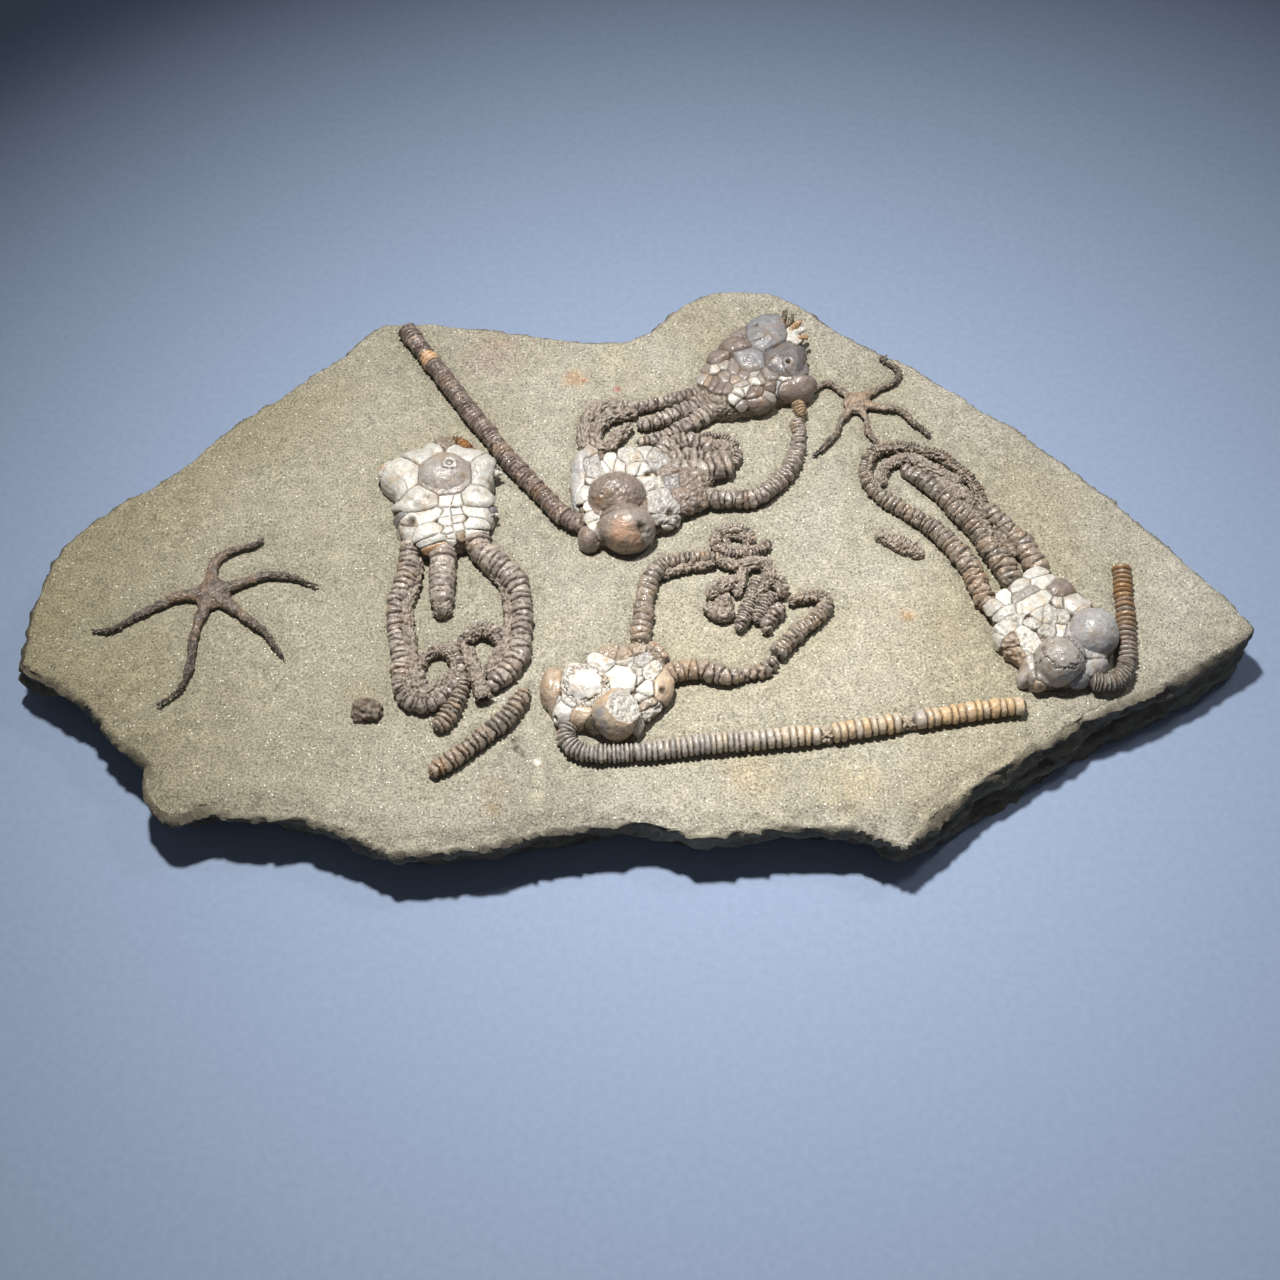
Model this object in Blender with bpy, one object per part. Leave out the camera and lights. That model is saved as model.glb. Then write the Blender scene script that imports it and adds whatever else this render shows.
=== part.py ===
"""Crinoid fossil: a siltstone slab with five crinoids, two brittle stars and loose
pieces standing out of its bedding face.

Sizes are millimetres until a mesh is made.  +X runs along the slab to the right,
+Y to its far edge, +Z up.  The slab lies on z = 0 with the origin at the middle of
its footprint.  Heights of fossils are measured from the bedding face.
"""

import math

import bmesh
import bpy
from mathutils import Vector, noise
from mathutils.bvhtree import BVHTree

MM = 0.001

# Slab
SLAB_THICK = 20.0           # bottom to the bedding face the fossils stand on
LEFT_END_THICK = 10.0       # the slab thins to this at its left tip
THIN_FROM_X = -108.0        # where the underside starts to rise to the left
LEFT_TIP_X = -207.5
ARRIS = 1.6                 # worn edge of the bedding face
LEDGE_STEP = 18.0           # longest straight stretch of the broken outline

# Fossils
STAR_STEP = 7.5             # spacing of points along a brittle star's arm
GAP = 0.3                   # clearance between pieces that touch
BURIED = 0.23               # share of a tube's width that is under the bedding face
STEM_RING = 5.6             # spacing of the raised rings on a stem
ARM_RING = 8.0              # spacing of the raised plates on an arm
STRAND_RING = 10.0          # the same on a thin, worn strand
STEM_GROOVE = 0.8           # groove width over ring width
ARM_GROOVE = 0.78
STEM_BEVEL = 2              # eight sides
ARM_BEVEL = 1               # six sides
CUP_SEGMENTS = 28
CUP_RINGS = 14
MERGE = 1e-6

# Top edge of the slab, clockwise from the left tip
OUTLINE = [
    (-207.5, -50), (-206.7, -28), (-204, -11), (-200.6, 0), (-193, 8), (-182, 19),
    (-173, 25), (-162, 36), (-152, 49), (-141, 59), (-132, 67), (-122, 78),
    (-111, 86), (-105, 95), (-98, 103), (-91, 104), (-79, 104), (-71, 102),
    (-57, 100), (-37, 97), (-21, 94), (-6, 94), (2, 98), (9, 105), (17, 114),
    (27, 119), (36, 120), (49, 119.5), (59, 115), (68, 106), (85, 92), (102, 82),
    (118, 68), (135, 53), (152, 36), (168, 18), (185, -3), (199, -21),
    (207.5, -36), (200, -42.5), (186, -50), (174, -57.5), (158, -64), (146, -71),
    (135, -78), (118, -89.5), (102, -100), (92, -109), (83, -118), (77, -115),
    (67.8, -110.5), (55, -110.5), (36, -112.5), (19, -114), (9, -112.5), (2, -110.2),
    (-16, -110), (-30, -112), (-45, -116.5), (-57, -118), (-66, -119.5), (-72, -120),
    (-79, -119), (-86, -116), (-95, -112), (-105, -108), (-118, -106.7),
    (-130, -105.5), (-138.6, -103.5), (-143, -106.5), (-149, -107), (-154, -105),
    (-157, -100), (-160, -94), (-158.6, -88.5), (-163, -83), (-171, -77.5), (-176, -71),
    (-184, -64), (-193, -57), (-202.5, -54),
]

# How the side of the slab steps in, from the top edge down: height left, step in
# where the near edge is undercut, along the near right side (below 0 as it leans
# out), and elsewhere
SIDE_LEVELS = [
    (18.6, 0.0, 0.0, 0.0),
    (15.0, 1.5, -0.8, 0.3),
    (11.0, 4.0, -1.0, 1.0),
    (5.5, 6.0, -2.6, 0.4),
    (0.0, 8.0, -3.6, 1.2),
]

UNDERCUT_FROM_Y = -55.0      # the near edge is broken back from here on
UNDERCUT_FADE = 35.0         # its undercut comes in over this length
LEAN_BELOW_Y = -38.0         # the near right side lies below this
LEAN_FROM_X = 84.0           # and runs from here, where the near edge ends
LEAN_TO_X = 206.0            # to here, near the right tip
LEAN_FADE = 14.0             # its lean comes in over this length at each end

# Cups.  core and plates are (x, y, height, half length X, half length Y, half
# height, turn in degrees); the cup is the outer surface round all of them.
CUPS = {
    "crinoid_a_cup": (
        (-69.5, 14, 1, 14, 21, 11, 0),
        [
            (-69, 27, 6.5, 9.6, 9.4, 7, 0),
            (-84.5, 27, 3.5, 7.5, 8.5, 6.5, 20), (-56.5, 28.5, 3.5, 7, 8.5, 6.5, -15),
            (-51.5, 26, 2, 4, 3.4, 4.5, 0), (-76.5, 15, 4.5, 7.5, 7, 6.5, 0),
            (-56.5, 17, 4.5, 6.8, 6.6, 6.5, 0), (-66, 16, 5.5, 5, 7, 6, 0),
            (-77, 6.5, 3.5, 8.5, 3.6, 5.5, 0), (-56, 8, 3.5, 6.5, 3.6, 5.5, 0),
            (-72.5, 1, 3, 6, 3.6, 5.5, 0), (-57, 3, 3, 5.5, 3.4, 5, 0),
            (-66, 3, 4, 5, 6, 5.5, 0),
        ],
    ),
    "crinoid_b_cup": (
        (42.5, 79, 1, 13, 20, 11, -24),
        [
            (46, 91, 6, 8.5, 8, 7.5, 0), (35, 87, 4, 6, 5.6, 6, 0),
            (56.5, 90, 3.5, 4.2, 7, 5, 0), (53, 79.5, 7, 7.6, 7.6, 7.5, 0),
            (40.5, 76.5, 7.5, 6.4, 6.2, 6, 0), (28, 79, 3, 5, 5, 5.5, 0),
            (25.5, 73.5, 3, 4.6, 4.6, 5, 0), (31.5, 72, 4.5, 4.6, 4.6, 5.5, 0),
            (47, 69.5, 6, 5.2, 5, 5.5, 0), (48, 64.5, 4, 4.6, 4.6, 5, 0),
            (39, 67, 5, 4.8, 5, 5.5, 0), (57, 67, 2.5, 5.5, 6.5, 5, 0),
            (35, 62.5, 3, 5, 4.5, 4.5, 0), (28.5, 67, 3, 5, 4.6, 5, 0),
        ],
    ),
    "crinoid_c_cup": (
        (-5, 17, 1, 15, 18, 10, 0),
        [
            (-7.8, 18, 7, 9, 9, 8.8, 0), (-4.6, 1.5, 6, 9.8, 8.8, 9.3, 0),
            (-20, 32, 3, 4.6, 8, 6.5, 10), (-20.5, 19, 3, 4.6, 8, 6.5, 0),
            (-17, -1.5, 3, 4, 5.5, 5.5, 0), (-17, 8, 5, 3.8, 3.6, 4, 0),
            (-12, 30, 4.5, 5, 4.6, 6, 0), (-2.5, 31.5, 4.5, 6, 4.6, 6, 0),
            (4.5, 24, 5.5, 5.5, 6, 5.5, 0), (9, 13, 4, 6.5, 4.8, 5.5, 0),
            (9, 6, 3, 4.8, 4.4, 5, 0), (16.5, 15.5, 2.5, 5, 4.4, 4.5, 0),
        ],
    ),
    "crinoid_d_cup": (
        (-12, -62.5, 1, 14.5, 14, 10, 0),
        [
            (-8.5, -72.5, 6.5, 7.7, 7.6, 8, 0), (-18.5, -63, 5.5, 7.8, 7.6, 6.5, 0),
            (-12.5, -53.5, 4, 3.6, 3.4, 5, 0), (-5, -61, 6, 6.4, 5.6, 6.5, 0),
            (2, -64, 4.5, 4.4, 4.4, 5, 0), (-29, -60.5, 2.5, 3.2, 7.5, 5, 0),
            (-26, -70.5, 3, 3.8, 4.4, 5, 0), (-19, -74, 4.5, 3.8, 5.2, 5, -35),
            (2, -69.5, 3.5, 4.4, 4.6, 5, 0), (7, -60, 2.5, 4.2, 4.6, 4.8, 0),
            (-4, -50.5, 2.5, 7.5, 5, 5.5, -20), (6, -48.5, 1.5, 2.6, 4.6, 3.5, 25),
        ],
    ),
    "crinoid_e_cup": (
        (136.5, -42, 1, 14.5, 15, 10.5, 0),
        [
            (137.5, -52.5, 7, 8.5, 8.3, 8.2, 0), (150.5, -41.8, 6, 7.6, 8.6, 7.5, 0),
            (150, -53.5, 3, 4.6, 4.4, 5.5, 0), (146.6, -28, 4, 4.8, 4.2, 5, 0),
            (143, -22.5, 2.5, 4, 3.8, 4.2, 0), (137, -36, 6, 6.4, 6, 6, 0),
            (129, -38, 5, 5, 4.4, 5.5, 0), (121, -40.5, 2.5, 5, 4, 4.8, 0),
            (127, -52.5, 3, 3.6, 6.4, 5, 0), (122, -48, 2, 4, 3.8, 4.2, 0),
            (128.5, -28.5, 3.5, 5, 5, 5, 0), (136, -24, 3, 4.4, 5, 4.8, 0),
            (119.5, -33.5, 2.5, 4.6, 4.4, 4.6, 0),
        ],
    ),
}

# Stems and arms: points along the middle of each, (x, y, width)
STEMS = {
    "crinoid_a_stem": [
        (-75.5, 36.5, 5), (-73, 41, 5), (-68, 43.5, 5), (-64, 42, 5), (-60.5, 38, 4.6),
    ],
    "crinoid_b_stem": [(58, 61.5, 4.6), (59.7, 55.5, 4.2)],
    "crinoid_c_stem": [
        (-88, 97.6, 6.6), (-84, 91.6, 6.6), (-79, 83.6, 6.6), (-74.3, 77, 6.6),
        (-69.5, 69.4, 6.6), (-64.7, 61.8, 6.6), (-59.8, 54.2, 6.6),
        (-54.3, 46.6, 6.6), (-49.5, 39, 6.6), (-44, 31.4, 6.6), (-38.4, 24.6, 6.6),
        (-33, 17.6, 6.6), (-28, 11.4, 6.6), (-23.3, 7.6, 6.4), (-17.5, 6.5, 6.2),
    ],
    "crinoid_d_stem": [
        (-22.5, -74.5, 5.8), (-24, -78, 5.8), (-22.5, -81.7, 5.9),
        (-19, -84.2, 6), (-14.8, -85, 6), (-9, -85, 6), (1.5, -84.2, 6.2),
        (12, -83, 6.3), (20, -81.6, 6.4), (34, -80.4, 6.5), (49.6, -78.7, 6.5),
        (60, -78, 6.4), (70.4, -75.9, 6.3), (80.7, -73.7, 6.2), (89.6, -72.6, 6),
        (100, -70.7, 6), (110.4, -68.9, 5.9), (119.3, -67.7, 5.8), (125.2, -67, 5.8),
    ],
    "crinoid_e_stem": [
        (148.5, -57.8, 6), (154, -58.2, 6.2), (159, -55.2, 6.2), (161.8, -49.7, 6.2),
        (162.2, -43.7, 6.2), (163, -37.7, 6.2), (163.6, -30.7, 6.2),
        (164, -23.1, 6.1), (164.7, -16.4, 6), (165, -12, 6),
    ],
}

ARMS = {
    "crinoid_a_arm_1": [
        (-79.5, -2, 8.4), (-78.7, -11.3, 8), (-79.5, -19, 7.6), (-81.5, -28, 7.8),
        (-81.5, -36, 8), (-80.2, -43, 8), (-79.3, -50, 8), (-78.3, -56.5, 7.5),
        (-76, -62, 7), (-72, -65.5, 6.5), (-67, -65.5, 6), (-62.5, -62, 5.5),
        (-60.5, -57, 5.2), (-61, -51.5, 5), (-65, -47.5, 4.8), (-69.5, -48.5, 4.5),
        (-71.2, -52.5, 4.2),
    ],
    "crinoid_a_arm_2": [
        (-67.7, -2, 9.4), (-67.7, -12, 9), (-67.5, -20, 8), (-67, -29, 7),
    ],
    "crinoid_a_arm_3": [
        (-56.5, 0, 8.6), (-55.3, -4.5, 8.6), (-51.3, -9, 8.4), (-46.7, -13, 8.2),
        (-42.7, -18, 8), (-40.7, -24, 8), (-40.3, -31, 8), (-40, -38, 7.8),
        (-40.3, -45, 7.2), (-41.3, -51, 6.6), (-43.8, -55.8, 6), (-46.8, -60, 5.4),
    ],
    "crinoid_d_arm_1": [
        (-1, -46, 6.2), (0.6, -38, 6), (1, -32.7, 5.8), (1.5, -26.7, 5.6),
        (2.6, -20.7, 5.6), (4.4, -15.7, 5.5), (8, -11.7, 5.4), (13.3, -9.3, 5.2),
        (19.3, -8, 5), (25, -8.6, 4.8), (29.5, -10.4, 4.7), (35, -11.2, 4.6),
        (40, -12, 4.5), (44, -14.2, 4.2),
    ],
    "crinoid_d_arm_2": [
        (8, -58, 6.6), (12, -55.2, 6.6), (16.3, -53.6, 6.6), (21.5, -53.6, 6.4),
        (26.7, -54.7, 6.2), (32, -55.7, 6), (37, -54.5, 5.6), (41.5, -52, 5),
        (45, -49.2, 4.2), (47.5, -45, 5), (51, -41.3, 5.6), (55.6, -37.9, 5.6),
        (60, -34.3, 5.4), (63.7, -30.4, 5), (64.4, -26.7, 4.8), (62.2, -23.7, 4.6),
        (57.3, -23, 4.4), (52, -24.6, 4.2),
    ],
    "crinoid_e_arm_1": [
        (118.6, -30, 7), (117, -23.7, 7), (115.5, -19, 7), (112.5, -13.2, 6.8),
        (109.6, -7.5, 6.6), (106, -2.3, 6.4), (101.4, 2.9, 6.2), (97, 7.3, 6),
        (91.8, 11.2, 5.8), (86.6, 15.3, 5.5), (82, 19.3, 5.3), (79.6, 23.6, 5),
        (78.8, 28.4, 5), (80.7, 33.5, 5), (84.6, 37.7, 5), (90.3, 40.3, 5),
        (97, 40.8, 4.9), (103.6, 39.3, 4.8), (109.6, 35.5, 4.6), (113.6, 31, 4.4),
        (116.6, 25.6, 4.2), (119.2, 19.6, 4), (120, 14.6, 3.8),
    ],
    "crinoid_e_arm_2": [
        (127.5, -20, 7.4), (124.6, -12.2, 7.4), (122, -6, 7.2), (119, -0.1, 7),
        (115.5, 5.3, 6.8), (111.8, 11, 6.4), (107.3, 16.5, 6), (103, 21.3, 5.4),
        (97.5, 27.4, 4.6),
    ],
    "crinoid_e_arm_3": [
        (135, -18, 7.2), (134, -10.7, 7.2), (132.4, -4.7, 7), (128.8, 2.1, 6.6),
        (124, 8.6, 6),
    ],
    "crinoid_c_arm_1": [
        (0, 35.5, 7), (6, 36, 7), (12, 38, 7), (17, 40.2, 6.8), (21, 40.6, 6.6),
        (25, 42.2, 6.4), (30, 42.6, 6), (33.8, 40, 5.6), (34.8, 36, 5.4),
        (33.6, 31.6, 5),
    ],
    "crinoid_c_arm_2": [
        (7, 28.6, 7.8), (12, 28, 7.8), (17, 28, 7.8), (21.5, 28.6, 7.6),
        (26, 30.2, 7),
    ],
    "crinoid_c_arm_3": [(11, 21, 5.6), (15.5, 21, 5.6), (20.5, 21.4, 5)],
    "crinoid_c_arm_4": [
        (19.5, 15.5, 6.6), (25.3, 16.4, 6.6), (30.7, 15.8, 6.4), (36, 15.3, 6.2),
        (41.3, 16.4, 6), (46.7, 18.8, 5.8), (50.7, 22, 5.6), (54, 26.6, 5.4),
        (56, 32, 5.2), (57, 38, 5), (57.3, 44.3, 4.6), (57, 50.4, 4.2),
    ],
    "crinoid_b_arm_1": [
        (26.5, 66.5, 7), (20, 64, 6.8), (14.7, 61.8, 6.4), (8, 59.8, 6),
        (1.3, 58.2, 5.6), (-4, 58, 5.2), (-9.3, 58.8, 5), (-14.3, 58, 4.8),
        (-18, 55.2, 4.5), (-20.3, 51, 4.3), (-21.5, 46, 4), (-22, 41.6, 3.8),
    ],
    "crinoid_b_arm_2": [
        (29.5, 63, 5.4), (24.7, 60.2, 5), (20, 57.3, 5), (14.7, 55.2, 5),
        (9.3, 52.6, 4.8), (4.7, 50.6, 4.6), (0.3, 48.4, 4.4), (-5.3, 45.8, 4.2),
    ],
    "crinoid_b_arm_3": [
        (34.5, 60, 6.2), (28.6, 55.8, 6), (22.9, 51.2, 5.8), (18, 48.4, 5.6),
        (13.3, 46, 5.4), (8, 43.4, 5.2), (2.7, 41.6, 4.8), (-2.4, 41, 4.6),
    ],
    "crinoid_a_arm_4": [
        (-46.6, -42.8, 5), (-49.5, -39, 5.2), (-53.3, -37.3, 5.2),
        (-56.8, -40, 5.2), (-57.4, -46, 5.2), (-54.9, -52.5, 5.2),
        (-52.8, -59.3, 5), (-51.3, -65.5, 4.5),
    ],
}

# Thin or worn strands, with less relief
STRANDS = {
    "crinoid_a_arm_5": [(-57.3, -64.5, 5), (-60.2, -69.7, 5.2), (-64.3, -76.5, 4.6)],
    "crinoid_b_coil": [
        (-4.6, 53, 4.4), (-9.8, 53.8, 4.4), (-14, 51.4, 4.4), (-15.9, 47, 4.2),
        (-14.6, 42.6, 4), (-10.6, 40.9, 3.8),
    ],
    "crinoid_e_arm_4": [
        (85.6, 25.5, 4), (87.8, 30.6, 4), (92, 34.4, 4), (97.7, 35, 4),
        (103.4, 32.4, 4), (108, 28.9, 4), (112, 25.2, 3.8),
    ],
    "loose_arm": [
        (-37.3, -61.3, 5.4), (-40.2, -66.2, 5.6), (-44.7, -71.3, 5.6),
        (-50.7, -77.3, 5.6), (-57.3, -83.3, 5.4), (-62.7, -88.6, 5.2),
        (-66.7, -92.3, 4.8),
    ],
    "small_arm_piece": [(81.2, 2.8, 4), (87, -2, 4.4), (93.6, -6.8, 3.8)],
}

# Strands tangled together, joined into one piece
TANGLE = [
    [(31.5, -17, 4), (25.4, -19.6, 4.2), (22.6, -24.8, 4.2), (22.6, -29.8, 4.2),
     (26, -32.8, 4), (30.4, -31, 3.8)],
    [(30, -18.5, 4), (36, -18, 4.4), (42.5, -18.8, 5), (47.6, -22.6, 5),
     (44.5, -27, 5), (41.2, -30.5, 4.2), (39.4, -35.6, 3.8)],
    [(35, -17, 4), (35.4, -23, 4.2), (36.2, -29.5, 4.2), (32.8, -38, 3.8)],
    [(46.5, -25, 4.4), (46.8, -30.5, 4), (44, -34.6, 3.8), (41.6, -38.7, 3.6)],
]

# Spiral tip of an arm: middle, half lengths of its outer turn, turns, width
COIL_MIDDLE = (32.2, 0.2)
COIL_OUTER = (7.8, 6.0)
COIL_INNER = 0.42           # inner end of the spiral over its outer turn
COIL_TURNS = 1.35
COIL_WIDTH = 3.2
COIL_STEPS = 22
COIL_TAIL = [(45.2, -7.2), (44.6, -2.6), (42.6, 1.8)]

# Brittle stars: disc (x, y, radius) and arms from the disc out, (x, y, width)
STARS = {
    "brittle_star_1": (
        (-145.5, -22, 5.6),
        [
            [(-146.5, -19, 4), (-146.8, -11, 3.6), (-145.3, -7.4, 3.3),
             (-142, -4.4, 3), (-137.3, -2.6, 2.6), (-133, -1, 2.2), (-130.5, 1.5, 1.6)],
            [(-143, -20.6, 4), (-136, -17.6, 3.6), (-131, -15.3, 3.4),
             (-126, -14.4, 3), (-120, -15, 2.6), (-115, -17, 2.2),
             (-109.6, -18.8, 1.6)],
            [(-143, -24, 4), (-135.5, -29.7, 3.6), (-131, -33.5, 3.3),
             (-126, -37.6, 2.8), (-122, -43, 2.2), (-118, -48.5, 1.6)],
            [(-147, -25, 4), (-148.8, -33.5, 3.7), (-149.4, -42, 3.3),
             (-149.4, -52, 2.8), (-151.4, -60, 2.3), (-158, -66.5, 1.6)],
            [(-148.5, -22.6, 4), (-156, -23, 3.7), (-162, -26, 3.4),
             (-169.6, -31, 3), (-177, -36.4, 2.6), (-184.4, -37, 1.8)],
        ],
    ),
    "brittle_star_2": (
        (79.5, 63, 4.6),
        [
            [(81, 64.4, 3.4), (87, 69, 3.4), (91.4, 71.5, 3.2), (94.5, 73.7, 3.2),
             (96, 77, 3), (94.6, 80.4, 2.8), (90, 84, 2.6), (92.6, 86.4, 2)],
            [(78.2, 64.8, 3.4), (74, 68.7, 3.4), (69, 72.4, 3), (64.4, 68.7, 2.2)],
            [(78.4, 61.4, 3.4), (73, 54.4, 3.2), (71.2, 49, 3), (65.5, 41.5, 2.6),
             (61.8, 38, 1.8)],
            [(81.4, 61.8, 3.4), (88.6, 60.5, 3.4), (94, 60, 3.4), (97.4, 57, 3.2),
             (99.5, 53.3, 3.2), (102.7, 50, 2.8), (105, 46.6, 2)],
            [(80, 61, 3.4), (82.3, 55, 3), (82.3, 50, 3), (84.2, 46.4, 2.8),
             (87, 41.8, 2)],
        ],
    ),
}

CRUST = (-89, -68.5, 0.5, 5.4, 4.8, 4.4)    # small crusted lump: place, half lengths

# Finish: colour and roughness
FINISH = {
    "siltstone": ("A89D7E", 0.9),
    "dark_calcite": ("7D6A60", 0.45),
    "tan_calcite": ("A9885F", 0.5),
    "pale_calcite": ("D6CFBE", 0.5),
    "grey_calcite": ("958A86", 0.45),
    "brown_calcite": ("84736A", 0.45),
    "crust": ("5E544A", 0.7),
}

CUP_FINISH = {
    "crinoid_a_cup": "pale_calcite",
    "crinoid_b_cup": "grey_calcite",
    "crinoid_c_cup": "brown_calcite",
    "crinoid_d_cup": "pale_calcite",
    "crinoid_e_cup": "grey_calcite",
}

TAN_STEMS = ("crinoid_a_stem", "crinoid_b_stem", "crinoid_d_stem", "crinoid_e_stem")


def srgb_to_linear(value):
    if value <= 0.04045:
        return value / 12.92
    return ((value + 0.055) / 1.055) ** 2.4


def make_material(name):
    """One Principled material from FINISH, made the first time it is asked for."""
    found = bpy.data.materials.get(name)
    if found:
        return found
    hex_colour, roughness = FINISH[name]
    channels = [int(hex_colour[i:i + 2], 16) / 255 for i in (0, 2, 4)]
    mat = bpy.data.materials.new(name)
    mat.use_nodes = True
    shader = mat.node_tree.nodes["Principled BSDF"]
    shader.inputs["Base Color"].default_value = [*map(srgb_to_linear, channels), 1]
    shader.inputs["Roughness"].default_value = roughness
    shader.inputs["Metallic"].default_value = 0.0
    return mat


def make_collection(name):
    coll = bpy.data.collections.new(name)
    bpy.context.scene.collection.children.link(coll)
    return coll


def add_object(name, bm, finish, coll):
    """A named, smooth-shaded object with its own material, from a bmesh."""
    mesh = bpy.data.meshes.new(name)
    bm.to_mesh(mesh)
    bm.free()
    mesh.materials.append(make_material(finish).copy())
    mesh.materials[0].name = name + "_finish"
    mesh.shade_smooth()
    mesh.set_sharp_from_angle(angle=math.radians(40))
    obj = bpy.data.objects.new(name, mesh)
    coll.objects.link(obj)
    return obj


def in_metres(x, y, height=0.0):
    """A point over the bedding face, in metres."""
    return Vector((x * MM, y * MM, (SLAB_THICK + height) * MM))


def flatten_base(bm):
    """Cut the solid off level just above the bedding face and close the cut."""
    level = in_metres(0, 0, GAP)
    everything = bm.verts[:] + bm.edges[:] + bm.faces[:]
    bmesh.ops.bisect_plane(bm, geom=everything, dist=MERGE, plane_co=level,
                           plane_no=(0, 0, 1), clear_inner=True)
    rim = [edge for edge in bm.edges if edge.is_boundary]
    bmesh.ops.holes_fill(bm, edges=rim, sides=0)
    bmesh.ops.recalc_face_normals(bm, faces=bm.faces[:])


# Routes ---------------------------------------------------------------------------

def curve_through(points, parts=8):
    """Dense smooth line through hand-placed points (Catmull-Rom)."""
    pts = [Vector(p) for p in points]
    pts = [pts[0] * 2 - pts[1]] + pts + [pts[-1] * 2 - pts[-2]]
    line = []
    for a, b, c, d in zip(pts, pts[1:], pts[2:], pts[3:]):
        for k in range(parts):
            t = k / parts
            line.append(0.5 * ((2 * b) + (c - a) * t + (2 * a - 5 * b + 4 * c - d) * t * t
                               + (3 * b - a - 3 * c + d) * t ** 3))
    line.append(pts[-2])
    return line


def evenly_spaced(line, step):
    """Points a whole number of equal steps apart along a dense line."""
    reach = [0.0]
    for a, b in zip(line, line[1:]):
        reach.append(reach[-1] + (b.xy - a.xy).length)
    count = max(2, round(reach[-1] / step))
    spaced = []
    k = 0
    for i in range(count + 1):
        want = reach[-1] * i / count
        while k < len(line) - 2 and reach[k + 1] < want:
            k += 1
        share = (want - reach[k]) / max(reach[k + 1] - reach[k], MERGE)
        spaced.append(line[k].lerp(line[k + 1], share))
    return spaced


def tube_mesh(points, ring, groove, bevel=ARM_BEVEL):
    """A tube along (x, y, width) points with raised rings, as a closed bmesh."""
    samples = evenly_spaced(curve_through(points), ring / 2)
    curve = bpy.data.curves.new("route", "CURVE")
    curve.dimensions = "3D"
    curve.bevel_depth = MM / 2
    curve.bevel_resolution = bevel
    curve.use_fill_caps = True
    spline = curve.splines.new("POLY")
    spline.points.add(len(samples) - 1)
    for i, (x, y, width) in enumerate(samples):
        middle = in_metres(x, y, width * (0.5 - BURIED))
        spline.points[i].co = (*middle, 1)
        spline.points[i].radius = width * (groove if i % 2 else 1.0)
    holder = bpy.data.objects.new("route", curve)
    bpy.context.scene.collection.objects.link(holder)
    evaluated = holder.evaluated_get(bpy.context.evaluated_depsgraph_get())
    mesh = bpy.data.meshes.new_from_object(evaluated)
    bpy.data.objects.remove(holder)
    bpy.data.curves.remove(curve)
    bm = bmesh.new()
    bm.from_mesh(mesh)
    bpy.data.meshes.remove(mesh)
    bmesh.ops.remove_doubles(bm, verts=bm.verts[:], dist=MERGE)
    return bm


def make_tube(name, points, finish, coll, ring, groove, bevel=ARM_BEVEL):
    bm = tube_mesh(points, ring, groove, bevel)
    flatten_base(bm)
    return add_object(name, bm, finish, coll)


# Cups -----------------------------------------------------------------------------

def exit_distance(start, direction, plate):
    """How far along a ray from start the surface of an ellipsoid is left."""
    x, y, height, rx, ry, rz, turn = plate
    spin = math.radians(-turn)
    offset = start - Vector((x, y, height))
    cos, sin = math.cos(spin), math.sin(spin)

    def local(v):
        return Vector(((v.x * cos - v.y * sin) / rx, (v.x * sin + v.y * cos) / ry,
                       v.z / rz))

    o, d = local(offset), local(direction)
    a, b, c = d.dot(d), 2 * o.dot(d), o.dot(o) - 1
    under_root = b * b - 4 * a * c
    if under_root < 0:
        return 0.0
    return (-b + math.sqrt(under_root)) / (2 * a)


def make_cup(name, core, plates, coll):
    """A sphere pushed out to the outer surface of its core and plates."""
    bm = bmesh.new()
    bmesh.ops.create_uvsphere(bm, u_segments=CUP_SEGMENTS, v_segments=CUP_RINGS,
                              radius=1.0)
    start = Vector(core[:3])
    for vert in bm.verts:
        direction = vert.co.normalized()
        reach = max(exit_distance(start, direction, p) for p in [core] + plates)
        x, y, height = start + direction * reach
        vert.co = in_metres(x, y, height)
    flatten_base(bm)
    return add_object(name, bm, CUP_FINISH[name], coll)


# Joined and cut pieces --------------------------------------------------------------

def boolean(target, cutter, operation):
    """Apply a Boolean to target in place."""
    mod = target.modifiers.new(operation.lower(), "BOOLEAN")
    mod.operation = operation
    mod.solver = "EXACT"
    mod.object = cutter
    evaluated = target.evaluated_get(bpy.context.evaluated_depsgraph_get())
    mesh = bpy.data.meshes.new_from_object(evaluated)
    target.modifiers.remove(mod)
    old = target.data
    target.data = mesh
    mesh.name = old.name
    bpy.data.meshes.remove(old)


def tidy_solid(obj):
    """Weld hair-thin slivers and keep only the largest closed body."""
    bm = bmesh.new()
    bm.from_mesh(obj.data)
    bmesh.ops.dissolve_degenerate(bm, edges=bm.edges[:], dist=2e-5)
    left = set(bm.faces)
    bodies = []
    while left:
        seed = left.pop()
        body, edge_of = {seed}, [seed]
        while edge_of:
            face = edge_of.pop()
            for edge in face.edges:
                for other in edge.link_faces:
                    if other in left:
                        left.discard(other)
                        body.add(other)
                        edge_of.append(other)
        bodies.append(body)
    bodies.sort(key=lambda body: sum(face.calc_area() for face in body))
    scraps = [face for body in bodies[:-1] for face in body]
    bmesh.ops.delete(bm, geom=scraps, context="FACES")
    loose = [vert for vert in bm.verts if not vert.link_faces]
    bmesh.ops.delete(bm, geom=loose, context="VERTS")
    bm.to_mesh(obj.data)
    bm.free()


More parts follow.
